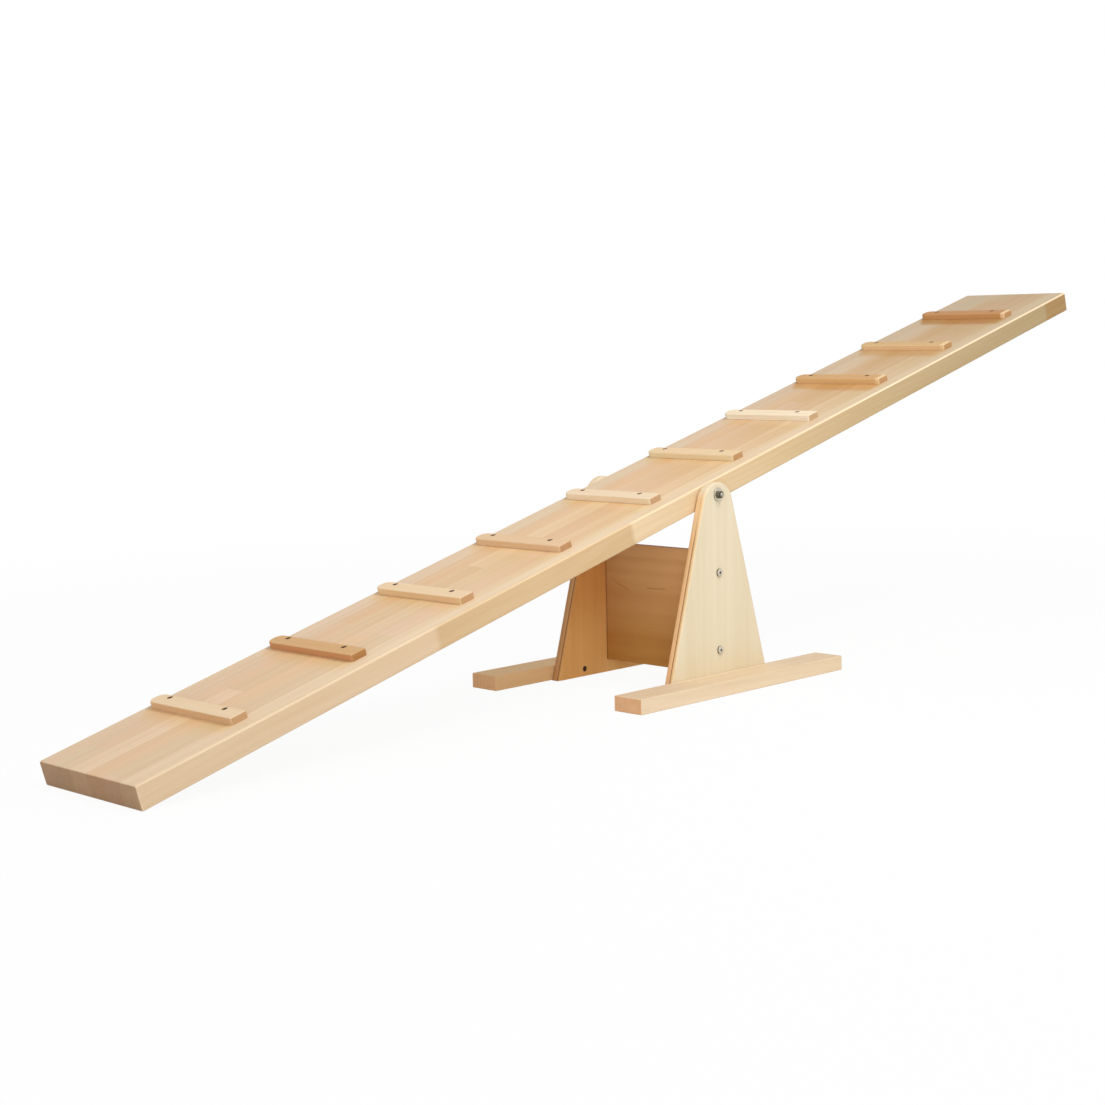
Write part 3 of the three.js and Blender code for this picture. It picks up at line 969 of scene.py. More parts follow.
        # Painted highlight along the near top edge.
        painted_highlight = wiring.product(
            self.at_near_edge(wiring, spot, self.painted_highlight_across),
            wiring.smooth(spot.along, *self.painted_highlight_along, self.painted_highlight_low_share, 1.0),
            wiring.smooth(spot.through, *self.painted_highlight_height),
        )
        return wiring.mix(painted_highlight, tone, self.painted_highlight_tone)

    def along_plank(self, wiring: Wiring, spot: Spot, stops: Sequence[tuple[float, Colour]],
                    step: bool = False) -> Socket:
        """Gives a colour from a row of places along the plank and colours, in steps or blended."""
        start = stops[0][0]
        span = -2 * start
        placed = [((place - start) / span, colour) for place, colour in stops]
        return wiring.ramp(wiring.scaled(spot.along, 1 / span, -start / span), placed, step)

    def at_near_edge(self, wiring: Wiring, spot: Spot, span: tuple[float, float]) -> Socket:
        """Gives 1 at the plank's near side, fading to 0 over a span that is measured in from it."""
        low, high = (distance - self.width / 2 for distance in span)
        return wiring.smooth(spot.across, low, high, 1.0, 0.0)

    def to_next_cleat(self, wiring: Wiring, spot: Spot) -> Socket:
        """Gives the distance along the plank to the low edge of the next cleat up."""
        steps = wiring.scaled(spot.along, -1 / self.cleat_pitch, self.cleat_edge / self.cleat_pitch)
        return wiring.scaled(wiring.math("FRACT", steps), self.cleat_pitch)

    def on_top(self, wiring: Wiring, spot: Spot) -> Socket:
        """Gives 1 on the top of the plank, from the cleats' near ends on."""
        low, high = (self.cleat_near + distance for distance in self.near_blend)
        return wiring.product(
            wiring.smooth(spot.across, low, high), wiring.smooth(spot.through, *self.top_height),
        )

    def painted_glow_band(self, wiring: Wiring, spot: Spot) -> Socket:
        """Gives the share of painted warm glow on the top: most a few centimetres before each cleat."""
        to_next = self.to_next_cleat(wiring, spot)
        return wiring.product(
            wiring.smooth(to_next, *self.painted_glow_rise),
            wiring.smooth(to_next, *self.painted_glow_fade, 1.0, self.painted_glow_rest),
            wiring.smooth(spot.across, *self.painted_glow_far, 1.0, 0.0), self.on_top(wiring, spot),
            wiring.smooth(spot.along, *self.painted_glow_start),
            wiring.smooth(spot.along, *self.painted_glow_end, 1.0, self.painted_glow_end_share),
        )

    def painted_reflection_band(self, wiring: Wiring, spot: Spot) -> Socket:
        """Gives the painted reflection's share on the top: most right before each cleat, with a slanted end.
        """
        to_next = self.to_next_cleat(wiring, spot)
        hold = wiring.smooth(spot.along, *self.painted_reflection_hold_span, 0.0, self.painted_reflection_hold)
        slanted = wiring.math("MULTIPLY_ADD", to_next, self.painted_reflection_slant, spot.across)
        low, high = (self.cleat_far + distance for distance in self.far_blend)
        return wiring.product(
            wiring.smooth(to_next, hold, self.painted_reflection_width, 1.0, 0.0),
            wiring.smooth(slanted, low, high, 1.0, 0.0), self.on_top(wiring, spot),
        )


@dataclass(frozen=True)
class CleatFinish(WoodFinish):
    """Lacquered wood of a bar whose front's tint is partly painted light and shade, and whose near tip may be
    paler.
    """

    # The front's tint is partly the wood's own colour and partly painted light and shade.
    front_shading_tint: Colour = (1.0, 1.0, 1.0)
    front_span: tuple[float, float] = (-0.9, -0.6)
    tip_tone: Colour = srgb(243, 214, 172)
    tip_share: float = 0.0
    tip_start: float = 0.0
    tip_span: tuple[float, float] = (9 * MM, 11 * MM)

    def toned(self, wiring: Wiring, spot: Spot) -> Socket:
        """Gives the colour with the front's painted light and shade (it faces down the plank) and the near
        tip's colour.
        """
        # Painted light and shade on the front, partly the wood's own colour.
        front = wiring.smooth(wiring.facing(rocker_place().u), *self.front_span, 1.0, 0.0)
        tone = wiring.tinted(super().toned(wiring, spot), self.front_shading_tint, front)
        low, high = (self.tip_start + distance for distance in self.tip_span)
        return wiring.mix(wiring.smooth(spot.along, low, high, self.tip_share, 0.0), tone, self.tip_tone)


@dataclass(frozen=True)
class PlywoodFinish(WoodFinish):
    """Lacquered plywood: one veneer on each face, and a lay-up of crossed plies that shows at the edges.

    The plies are given by their depth from the inner face, as a share of the thickness.
    """

    inner: float = 0.0
    thickness: float = 18 * MM
    # Painted shade on the inner veneer, deeper and warmer under the plank, and painted light on the upper
    # parts.
    inner_shade_tone: Colour = srgb(243, 195, 127)
    inner_deep_shade_tone: Colour = srgb(235, 179, 111)
    inner_deep_shade_span: tuple[float, float] = (60 * MM, 170 * MM)
    upper_lit_tone: Colour = srgb(243, 210, 166)
    upper: tuple[float, float] = (250 * MM, 315 * MM)
    lifted: tuple[float, float] = (335 * MM, 360 * MM)
    blend_share: float = 0.75
    face_span: tuple[float, float] = (0.80, 0.93)
    half_span: tuple[float, float] = (0.4, 0.6)
    plies: tuple[tuple[float, Colour], ...] = (
        (0.00, srgb(229, 188, 128)), (0.09, srgb(238, 196, 146)), (0.24, srgb(234, 192, 144)),
        (0.40, srgb(242, 204, 158)), (0.56, srgb(236, 192, 146)), (0.62, srgb(130, 84, 48)),
        (0.69, srgb(222, 184, 138)), (0.80, srgb(230, 200, 156)), (0.92, srgb(238, 217, 182)),
    )

    def toned(self, wiring: Wiring, spot: Spot) -> Socket:
        """Gives the plies' colours by depth, the face veneers' on the faces, and painted shade and light by
        height.

        Args:
            wiring: The material's nodes.
            spot: The place in the board, whose place through it is that from the stand's middle plane.

        Returns:
            The colour.
        """
        depth = wiring.math("ABSOLUTE", spot.through)
        depth = wiring.scaled(depth, 1 / self.thickness, -self.inner / self.thickness)
        # Painted light: the plies lighten from 250 mm up, and above the plank the plies and inner veneer take
        # the face tone.
        lifted = wiring.smooth(spot.along, *self.lifted)
        layers = wiring.ramp(depth, self.plies, step=True)
        upper = wiring.smooth(spot.along, *self.upper, 0.0, self.blend_share)
        layers = wiring.mix(upper, layers, self.upper_lit_tone)
        layers = wiring.mix(wiring.scaled(lifted, self.blend_share), layers, self.tone)
        flat = wiring.smooth(wiring.math("ABSOLUTE", wiring.facing((0.0, 1.0, 0.0))), *self.face_span)
        outer = wiring.math("MAXIMUM", wiring.smooth(depth, *self.half_span), lifted)
        # Painted shade on the inner veneer, deeper and warmer from 60 to 170 mm up.
        deep_shade = wiring.smooth(spot.along, *self.inner_deep_shade_span)
        veneer = wiring.mix(outer, wiring.mix(deep_shade, self.inner_shade_tone, self.inner_deep_shade_tone), self.tone)
        return wiring.mix(flat, layers, veneer)


@dataclass(frozen=True)
class PanelFinish(WoodFinish):
    """Lacquered plywood with painted shade towards the floor and at its ends, dark edges and fine checks in
    one face.

    Each check runs from one place along the panel and height to another.
    """

    bottom: float = 0.0
    top: float = 0.0
    # Painted shade, darker and warmer towards the floor.
    painted_light_tint: Colour = (0.70, 0.59, 0.33)
    # Painted shadow where the panel meets the cheeks.
    joint_shadow_span: tuple[float, float] = (123 * MM, 125 * MM)
    joint_shadow_tint: Colour = (0.66, 0.56, 0.44)
    checks: tuple[tuple[float, float, float, float], ...] = (
        (68 * MM, 159 * MM, 106 * MM, 175 * MM), (-22 * MM, 168 * MM, 24 * MM, 166 * MM),
    )
    check_tint: Colour = (0.55, 0.45, 0.33)
    check_width: tuple[float, float] = (0.2 * MM, 1.3 * MM)
    check_fade: float = 5 * MM
    check_share: float = 0.8
    check_wander: float = 6 * MM
    check_wander_scale: float = 70.0
    edge_span: tuple[float, float] = (0.3, 0.8)

    def toned(self, wiring: Wiring, spot: Spot) -> Socket:
        """Gives the veneer's colour with painted shade low down and at its ends, and its checks.

        A check is the straight line between its two places, moved up and down by noise.

        Args:
            wiring: The material's nodes.
            spot: The place in the panel.

        Returns:
            The colour.
        """
        tone = super().toned(wiring, spot)
        # Painted shade, darker and warmer towards the floor.
        height = wiring.smooth(spot.across, self.bottom, self.top)
        tone = wiring.mix(height, wiring.times(tone, self.painted_light_tint), tone)
        # Painted shadow where the panel meets the cheeks.
        joint_shadow = wiring.smooth(wiring.math("ABSOLUTE", spot.along), *self.joint_shadow_span)
        tone = wiring.tinted(tone, self.joint_shadow_tint, joint_shadow)
        noise = wiring.noise((spot.along, 0.0, 0.0), (self.check_wander_scale, 1.0, 1.0), 2.0)
        wander = wiring.scaled(noise, self.check_wander, -self.check_wander / 2)
        front = wiring.smooth(spot.through, -self.check_fade, 0.0, self.check_share, 0.0)
        for start, low, end, high in self.checks:
            slope = (high - low) / (end - start)
            level = wiring.math("ADD", wiring.scaled(spot.along, slope, low - slope * start), wander)
            off = wiring.math("ABSOLUTE", wiring.math("SUBTRACT", spot.across, level))
            line = wiring.product(
                wiring.smooth(off, *self.check_width, 1.0, 0.0), front,
                wiring.smooth(spot.along, start - self.check_fade, start + self.check_fade),
                wiring.smooth(spot.along, end - self.check_fade, end + self.check_fade, 1.0, 0.0),
            )
            tone = wiring.tinted(tone, self.check_tint, line)
        return tone

    def end_grain(self, wiring: Wiring) -> Socket:
        """Gives 1 on the panel's edges and 0 on its faces."""
        facing = wiring.math("ABSOLUTE", wiring.facing((1.0, 0.0, 0.0)))
        return wiring.smooth(facing, *self.edge_span, 1.0, 0.0)


@dataclass(frozen=True)
class MetalFinish:
    """Plated steel or plain plastic, with faint clouds, turning marks and painted shade below its outer
    faces.
    """

    name: str
    colour: Colour
    cloud_tint: Colour
    roughness: float
    metallic: float = 1.0
    cloud_scale: float = 260.0
    cloud_span: tuple[float, float] = (0.3, 0.75)
    cloud_roughness: float = 0.16
    mark_scale: float = 2600.0
    mark_depth: float = 0.01 * MM
    face: float = 0.0
    # Painted shade on the faces that lie below the outer face.
    rim_shade_span: tuple[float, float] = (-0.9 * MM, -0.2 * MM)
    rim_shade_tint: Colour = (0.22, 0.20, 0.17)

    def material(self) -> bpy.types.Material:
        """Makes the finish's material."""
        wiring = Wiring(self.name)
        place = wiring.node("SeparateXYZ", wiring.node("TexCoord").outputs["Object"]).outputs
        cloud = wiring.noise(place, [self.cloud_scale] * 3, 3.0)
        mark = wiring.noise(place, [self.mark_scale] * 3, 1.0)
        colour = wiring.tinted(self.colour, self.cloud_tint, wiring.smooth(cloud, *self.cloud_span))
        # Painted shade below the outer face.
        if self.face:
            low, high = (self.face + distance for distance in self.rim_shade_span)
            rim_shade = wiring.smooth(wiring.math("ABSOLUTE", place[1]), low, high, 1.0, 0.0)
            colour = wiring.tinted(colour, self.rim_shade_tint, rim_shade)
        rough = wiring.scaled(cloud, self.cloud_roughness, self.roughness - self.cloud_roughness / 2)
        return wiring.finish(colour, rough, self.metallic, mark, self.mark_depth)


def add_object(name: str, data: bpy.types.ID) -> bpy.types.Object:
    """Puts a new object with its data in the scene."""
    made = bpy.data.objects.new(name, data)
    bpy.context.scene.collection.objects.link(made)
    return made


def add_piece(skin: Skin, node: str, body: str, material: bpy.types.Material) -> bpy.types.Object:
    """Puts a finished piece in the scene in the place of its plain one.

    Args:
        skin: The piece's skin.
        node: Name of the plain piece that it stands for.
        body: Name of the body that it moves with.
        material: Its finish.

    Returns:
        The piece.
    """
    mesh = skin.mesh(f"{node}_finished")
    piece = add_object(mesh.name, mesh)
    mesh.materials.append(material)
    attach(piece, body)
    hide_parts(node)
    log.info("%s: %d faces on %s", piece.name, len(mesh.polygons), body)
    return piece


ZINC = MetalFinish("bright_zinc", srgb(204, 200, 190), (0.74, 0.74, 0.74), 0.32)
WASHER_ZINC = replace(ZINC, name="washer_zinc", colour=srgb(221, 210, 188))
BOLT_ZINC = replace(ZINC, name="bolt_zinc", colour=srgb(216, 207, 188))
NUT_ZINC = replace(ZINC, name="nut_zinc", colour=srgb(122, 118, 106), roughness=0.3)
ROD_ZINC = replace(ZINC, name="rod_zinc", colour=srgb(184, 178, 162))
DARK_STEEL = MetalFinish("dark_steel", srgb(72, 46, 32), (0.6, 0.55, 0.5), 0.55, metallic=0.6)
NYLON = MetalFinish("natural_nylon", srgb(236, 231, 218), (0.94, 0.93, 0.9), 0.5, metallic=0.0)


@dataclass(frozen=True)
class Countersunk:
    """A countersunk wood screw along w whose head's flat top lies at the origin.

    The point and the thread's depth are shares of the core's radius. The cross's span, width and depth are
    shares of the head's radius, and its taper is the size of its floor as a share of its top.
    """

    core: float
    head: float
    length: float
    pitch: float
    rim: float = 0.5 * MM
    clearance: float = 0.3 * MM
    lip: float = 0.25 * MM
    point: float = 0.05
    thread_depth: float = 0.25
    cross_span: float = 1.15
    cross_width: float = 0.28
    cross_depth: float = 0.4
    cross_taper: float = 0.55
    segments: int = 24

    @property
    def neck(self) -> float:
        """Depth at which the head's cone ends."""
        return self.rim + self.head - self.core

    def sew(self, skin: Skin) -> None:
        """Adds the screw: a point, a threaded core, the head's cone and rim and a crossed recess."""
        thread = Thread(-self.length, -self.neck - self.pitch, self.pitch, self.thread_depth * self.core)
        profile = [
            (0.0, -self.length), (self.point * self.core, -self.length),
            (self.core, 2 * self.core - self.length), (self.core, -self.neck), (self.head, -self.rim),
            (self.head, 0.0), (self.head, 0.0),
        ]
        spin(skin, profile, self.segments, thread)
        cross = cross_shape(self.cross_span * self.head, self.cross_width * self.head)
        rim = circle(self.head, self.segments)
        recess(skin, rim, cross, 0.0, -self.cross_depth * self.head, self.cross_taper)

    def hole(self, centre: tuple[float, float], face: float, sink: float, far: float) -> Hole:
        """Gives the hole that the screw sits in.

        Args:
            centre: The screw's (u, v) place in the board.
            face: Place of the face in which the hole opens.
            sink: How deep the head's top lies below that face.
            far: Place at which the hole ends.

        Returns:
            The hole, run from the face inwards.
        """
        way = 1.0 if far > face else -1.0
        wide, narrow = self.head + self.clearance, self.core + self.clearance
        shoulder = face + way * (sink + self.rim + self.clearance)
        neck = face + way * (sink + self.neck + self.clearance)
        lip = ((face, wide + self.lip), (face + way * self.lip, wide))
        return Hole(centre, (*lip, (shoulder, wide), (neck, narrow), (far, narrow)))


@dataclass(frozen=True)
class Rocker:
    """Everything that tips: the plank, its cleats with their screws, and the bushes in its bore."""

    length: float = 2500 * MM
    width: float = 250 * MM
    thickness: float = 40 * MM
    rounding: float = 4 * MM
    corner_ease: float = 0.2 * MM
    bore_drop: float = 1.5 * MM
    bore_radius: float = 9.2 * MM
    seat: float = 0.3 * MM
    cleat_count: int = 10
    cleat_start: float = -1042 * MM
    cleat_end: float = 1063 * MM
    cleat_near: float = -96 * MM
    cleat_far: float = 117 * MM
    cleat_width: float = 30 * MM
    cleat_height: float = 11 * MM
    cleat_rounding: float = 1.9 * MM
    cleat_corner_near: float = 3.8 * MM
    cleat_corner_far: float = 13 * MM
    screw_rows: tuple[float, float] = (-52 * MM, 87 * MM)
    screw_offset: float = 7.5 * MM
    screw_sink: float = 1 * MM
    screw: Countersunk = Countersunk(core=2 * MM, head=4.5 * MM, length=32.3 * MM, pitch=1.8 * MM)
    bush_depth: float = 30 * MM
    bush_inner: float = 7.1 * MM
    bush_outer: float = 9.1 * MM
    flange_radius: float = 13 * MM
    flange_thickness: float = 1.7 * MM
    place: Place = field(default_factory=rocker_place)

    @property
    def top(self) -> float:
        """Height of the plank's top above the axle, square to the plank."""
        return self.bore_drop + self.thickness / 2

    @property
    def screw_top(self) -> float:
        """Height of the cleat screws' heads above the axle, square to the plank."""
        return self.top + self.seat + self.cleat_height - self.screw_sink

    @property
    def cleat_places(self) -> Array:
        """Places of the cleats along the plank."""
        return np.linspace(self.cleat_start, self.cleat_end, self.cleat_count)

    def build(self) -> None:
        """Builds the plank, the cleats, their screws and the bushes."""
        self.build_plank()
        steel = DARK_STEEL.material()
        for index, along in enumerate(self.cleat_places.tolist()):
            self.build_cleat(index, along)
            for end, across in zip(("near", "far"), self.screw_rows):
                skin = Skin(self.place.moved(along + self.screw_offset, across, self.screw_top))
                self.screw.sew(skin)
                add_piece(skin, f"cleat_screw_{index + 1:02d}_{end}", "rocker", steel)
        nylon = NYLON.material()
        for side, name in ((-1, "near"), (1, "far")):
            self.build_bush(side, f"axle_bush_{name}", nylon)

    def build_plank(self) -> None:
        """Builds the plank: every edge rounded, the bore for the bushes and a pilot hole for each screw."""
        radius = self.screw.core + self.screw.clearance
        bottom = self.screw_top - self.screw.length - self.seat
        steps = ((self.top, radius), (bottom, radius))
        pilots = tuple(
            Hole((along + self.screw_offset, across), steps, through=False, segments=16)
            for along in self.cleat_places.tolist() for across in self.screw_rows
        )
        outline = rounded_rectangle(self.length, self.width, [self.rounding + self.corner_ease] * 4)
        plate = Plate(
            outline, self.top - self.thickness, self.top, self.rounding, self.rounding, pilots,
            bore_radius=self.bore_radius,
        )
        skin = Skin(self.place)
        plate.sew(skin)
        finish = GluedPlankFinish(
            "plank_wood", Grain.ALONG_X, srgb(232, 200, 164), end_tint=(0.50, 0.42, 0.36), on_rocker=True,
            width=self.width, cleat_edge=self.cleat_start - self.cleat_width / 2,
            cleat_pitch=(self.cleat_end - self.cleat_start) / (self.cleat_count - 1),
            cleat_near=self.cleat_near, cleat_far=self.cleat_far,
        )
        add_piece(skin, "plank", "rocker", finish.material())

    def build_cleat(self, index: int, along: float) -> None:
        """Builds a cleat: rounded on top, almost square at its near end and rounder at its far end.

        Args:
            index: The cleat's number from the low end, from 0.
            along: Its place along the plank.
        """
        low = self.top + self.seat
        high = low + self.cleat_height
        middle = (self.cleat_near + self.cleat_far) / 2
        corners = [self.cleat_corner_far] * 2 + [self.cleat_corner_near] * 2
        outline = rounded_rectangle(self.cleat_width, self.cleat_far - self.cleat_near, corners)
        holes = tuple(
            self.screw.hole((self.screw_offset, across - middle), high, self.screw_sink, low)
            for across in self.screw_rows
        )
        skin = Skin(self.place.moved(along, middle, 0.0))
        Plate(outline, low, high, 0.0, self.cleat_rounding, holes).sew(skin)
        wood = CLEAT_WOODS[index]
        shade = wood.shade.name.lower()
        pith_swing = 20 * MM * math.sin(5.1 * index)
        pith_depth = 30 * MM + 10 * MM * index
        finish = CleatFinish(
            f"cleat_{index + 1:02d}_{shade}", Grain.ALONG_Y, tuple(np.multiply(wood.shade.value, wood.tint)),
            seed=1.37 * index, ring_spacing=5 * MM, pith=(pith_swing - along, -pith_depth), on_rocker=True,
            front_shading_tint=wood.front, tip_share=wood.tip, tip_start=self.cleat_near,
        )
        add_piece(skin, f"cleat_{index + 1:02d}", "rocker", finish.material())

    def build_bush(self, side: int, node: str, material: bpy.types.Material) -> None:
        """Builds a flanged bush: a sleeve in the plank's bore and a flange on its side.

        Args:
            side: -1 for the near side, 1 for the far side.
            node: Name of the plain piece that it stands for.
            material: Its finish.
        """
        ease = 0.4 * MM
        face = self.width / 2
        inmost = face - self.bush_depth
        outside = face + self.flange_thickness
        profile = [
            (self.bush_inner, inmost), (self.bush_outer - ease, inmost), (self.bush_outer, inmost + ease),
            (self.bush_outer, face), (self.flange_radius, face), (self.flange_radius, outside - ease),
            (self.flange_radius - ease, outside), (self.bush_inner + ease, outside),
            (self.bush_inner, outside - ease), (self.bush_inner, inmost),
        ]
        skin = Skin(facing_side(side, self.place.origin[2]))
        spin(skin, profile, segments=64)
        add_piece(skin, node, "rocker", material)


class CleatShade(Enum):
    """The shades that the cleats' wood comes in."""

    PALE = srgb(240, 212, 177)
    CREAM = srgb(250, 232, 205)
    HONEY = srgb(217, 179, 131)
    BROWN = srgb(209, 163, 113)


@dataclass(frozen=True)
class CleatWood:
    """One cleat's wood: its shade, how its own tone and its front differ from it, and its tip's paleness."""

    shade: CleatShade
    tint: Colour = (1.0, 1.0, 1.0)
    front: Colour = (1.0, 1.0, 1.0)
    tip: float = 0.0


# The third column tints each front, partly own colour, partly painted shade low and painted light and
# reflection high.
CLEAT_WOODS = (
    CleatWood(CleatShade.PALE, (1.06, 1.11, 1.18), (0.81, 0.70, 0.61)),
    CleatWood(CleatShade.HONEY, (1.04, 1.01, 1.02), (0.85, 0.71, 0.70)),
    CleatWood(CleatShade.PALE, (1.05, 1.09, 1.15), (0.96, 0.91, 0.82)),
    CleatWood(CleatShade.PALE, (0.95, 0.92, 0.90)),
    CleatWood(CleatShade.CREAM, (0.95, 0.93, 0.93), (1.03, 1.08, 1.12)),
    CleatWood(CleatShade.PALE, (0.97, 0.99, 0.96), (1.05, 1.16, 1.22)),
    CleatWood(CleatShade.CREAM, (1.02, 1.07, 1.14), (1.04, 1.12, 1.25)),
    CleatWood(CleatShade.BROWN, (1.06, 1.14, 1.20), (1.21, 1.34, 1.48), 0.9),
    CleatWood(CleatShade.HONEY, (0.98, 1.04, 1.07), (1.27, 1.36, 1.60), 0.8),
    # The tenth cleat's darker tint is partly painted shade towards the high end.
    CleatWood(CleatShade.BROWN, (0.84, 0.78, 0.74), (1.19, 1.23, 1.28), 0.9),
)


@dataclass(frozen=True)
class Stand:
    """The cheeks, their feet, the cross panel and everything that holds them together."""

    pivot: float = 346 * MM
    inner: float = 127 * MM
    cheek_thickness: float = 18 * MM
    half_base: float = 137 * MM
    top_radius: float = 41 * MM
    top_drop: float = 19 * MM
    cheek_rounding: float = 4 * MM
    panel_thickness: float = 12 * MM
    panel_bottom: float = 24 * MM
    panel_top: float = 245 * MM
    panel_ease: float = 0.8 * MM
    corner_ease: float = 0.1 * MM
    bolt_levels: tuple[float, float] = (68 * MM, 207 * MM)
    axle_hole: float = 4.25 * MM
    bolt_radius: float = 3 * MM
    bolt_clearance: float = 0.3 * MM
    bolt_head_radius: float = 7 * MM
    bolt_head_height: float = 3 * MM
    bolt_head_round: float = 1 * MM
    bolt_chamfer: float = 0.8 * MM
    bolt_pitch: float = 1 * MM
    bolt_thread_length: float = 26 * MM
    bolt_thread_depth: float = 0.5 * MM
    socket_across_flats: float = 4 * MM
    socket_depth: float = 2 * MM
    socket_taper: float = 0.98
    barrel_depth: float = 32 * MM
    barrel_radius: float = 5 * MM
    barrel_length: float = 9 * MM
    barrel_slot_width: float = 1.2 * MM
    barrel_slot_depth: float = 1 * MM
    beyond_nut: float = 5 * MM
    foot_length: float = 555 * MM
    foot_width: float = 62 * MM
    foot_height: float = 27 * MM
    foot_rounding: float = 2 * MM
    foot_screw_spacing: float = 132 * MM
    foot_screw_sink: float = 1 * MM
    foot_screw: Countersunk = Countersunk(core=2.5 * MM, head=5 * MM, length=57 * MM, pitch=2.2 * MM)

    @property
    def outer(self) -> float:
        """Distance from the middle plane to the cheeks' outer faces."""
        return self.inner + self.cheek_thickness

    @property
    def foot_screw_places(self) -> tuple[float, float]:
        """Places of the foot screws along the foot."""
        return -self.foot_screw_spacing / 2, self.foot_screw_spacing / 2

    def build(self) -> None:
        """Builds the wooden pieces first and then the metal ones."""
        near_cheek = PlywoodFinish(
            "near_cheek_plywood", Grain.UPRIGHT, srgb(234, 223, 197), ring_spacing=16 * MM,
            ring_strength=0.12, streak_strength=0.55, fibre_strength=0.35, end_tint=(1.0, 1.0, 1.0),
            pith=(0.0, -0.35), inner=self.inner, thickness=self.cheek_thickness,
        )
        far_plies = (
            (0.00, srgb(210, 160, 106)), (0.13, srgb(152, 104, 66)), (0.23, srgb(214, 168, 118)),
            (0.50, srgb(200, 154, 110)), (0.90, srgb(154, 118, 88)),
        )
        far_cheek = replace(
            near_cheek, name="far_cheek_plywood", plies=far_plies, seed=3.1, streak_strength=0.9,
        )
        near_foot = WoodFinish(
            "near_foot_wood", Grain.ALONG_X, srgb(236, 217, 191), end_tint=(0.90, 0.68, 0.53),
        )
        far_foot = replace(
            near_foot, name="far_foot_wood", tone=srgb(252, 219, 170), end_tint=(0.90, 0.78, 0.78), seed=5.3,
        )
        zinc = ZINC.material()
        bolt_zinc = replace(BOLT_ZINC, face=self.outer + self.bolt_head_height).material()
        steel = DARK_STEEL.material()
        self.build_panel()
        for side, name, cheek, foot in ((-1, "near", near_cheek, near_foot), (1, "far", far_cheek, far_foot)):
            self.build_cheek(side, f"cheek_{name}", cheek.material())
            self.build_foot(side, f"foot_{name}", foot.material())
            for level, place in zip(self.bolt_levels, ("lower", "upper")):
                self.build_bolt(side, level, f"panel_bolt_{place}_{name}", bolt_zinc)
                self.build_barrel(side, level, f"barrel_nut_{place}_{name}", zinc)
            for along, place in zip(self.foot_screw_places, ("low_end", "high_end")):
                self.build_foot_screw(side, along, f"foot_screw_{place}_{name}", steel)

    def build_cheek(self, side: int, node: str, material: bpy.types.Material) -> None:
        """Builds a cheek: tapered, with a round top, rounded edges, and cut square at the floor.

        Args:
            side: -1 for the near side, 1 for the far side.
            node: Name of the plain piece that it stands for.
            material: Its finish.
        """
        bolt_hole = self.bolt_radius + self.bolt_clearance
        holes = [Hole((0.0, self.pivot), ((self.outer, self.axle_hole), (self.inner, self.axle_hole)))]
        for level in self.bolt_levels:
            holes.append(Hole((0.0, level), ((self.outer, bolt_hole), (self.inner, bolt_hole))))
        for along in self.foot_screw_places:
            centre = (along, self.foot_height / 2)
            holes.append(self.foot_screw.hole(centre, self.inner, self.foot_screw_sink, self.outer))
        outline = tapered_outline(self.half_base, self.top_radius, self.pivot - self.top_drop)
        plate = Plate(outline, self.inner, self.outer, self.cheek_rounding, self.cheek_rounding, tuple(holes))
        skin = Skin(facing_side(side))
        plate.sew(skin)
        add_piece(skin, node, "stand", material)

    def build_foot(self, side: int, node: str, material: bpy.types.Material) -> None:
        """Builds a foot: a bar along X with eased edges and a blind hole for each screw.

        Args:
            side: -1 for the near side, 1 for the far side.
            node: Name of the plain piece that it stands for.
            material: Its finish.
        """
        radius = self.foot_screw.core + self.foot_screw.clearance
        end = self.inner + self.foot_screw_sink + self.foot_screw.length + self.foot_screw.clearance
        holes = tuple(
            Hole((along, 0.0), ((self.outer, radius), (end, radius)), through=False, segments=24)
            for along in self.foot_screw_places
        )
        corner = self.foot_rounding + self.corner_ease
        outline = rounded_rectangle(self.foot_length, self.foot_height, [corner] * 4)
        far_side = self.outer + self.foot_width
        plate = Plate(outline, self.outer, far_side, self.foot_rounding, self.foot_rounding, holes)
        skin = Skin(facing_side(side, self.foot_height / 2))
        plate.sew(skin)
        add_piece(skin, node, "stand", material)

    def build_panel(self) -> None:
        """Builds the cross panel with the four round pockets that the barrel nuts sit in."""
        height = self.panel_top - self.panel_bottom
        middle = (self.panel_top + self.panel_bottom) / 2
        half = self.panel_thickness / 2
        pocket = self.barrel_radius + self.bolt_clearance
        floor = -self.barrel_length / 2 - self.bolt_clearance
        steps = ((half, pocket), (floor, pocket))
        barrel = self.inner - self.barrel_depth
        holes = tuple(
            Hole((side * barrel, level - middle), steps, through=False)
            for side in (-1, 1) for level in self.bolt_levels
        )
        corner = self.panel_ease + self.corner_ease
        outline = rounded_rectangle(2 * self.inner, height, [corner] * 4, steps=4)
        plate = Plate(outline, -half, half, self.panel_ease, self.panel_ease, holes, rings=4)
        skin = Skin(facing_high_end((0.0, 0.0, middle)))
        plate.sew(skin)
        finish = PanelFinish(
            "panel_plywood", Grain.LEVEL_PANEL, srgb(218, 174, 125), ring_spacing=13 * MM, ring_strength=0.16,
            streak_strength=0.8, pith=(-0.11, -0.16), end_tint=(0.5, 0.42, 0.34), bottom=self.panel_bottom,
            top=self.panel_top,
        )
        add_piece(skin, "cross_panel", "stand", finish.material())

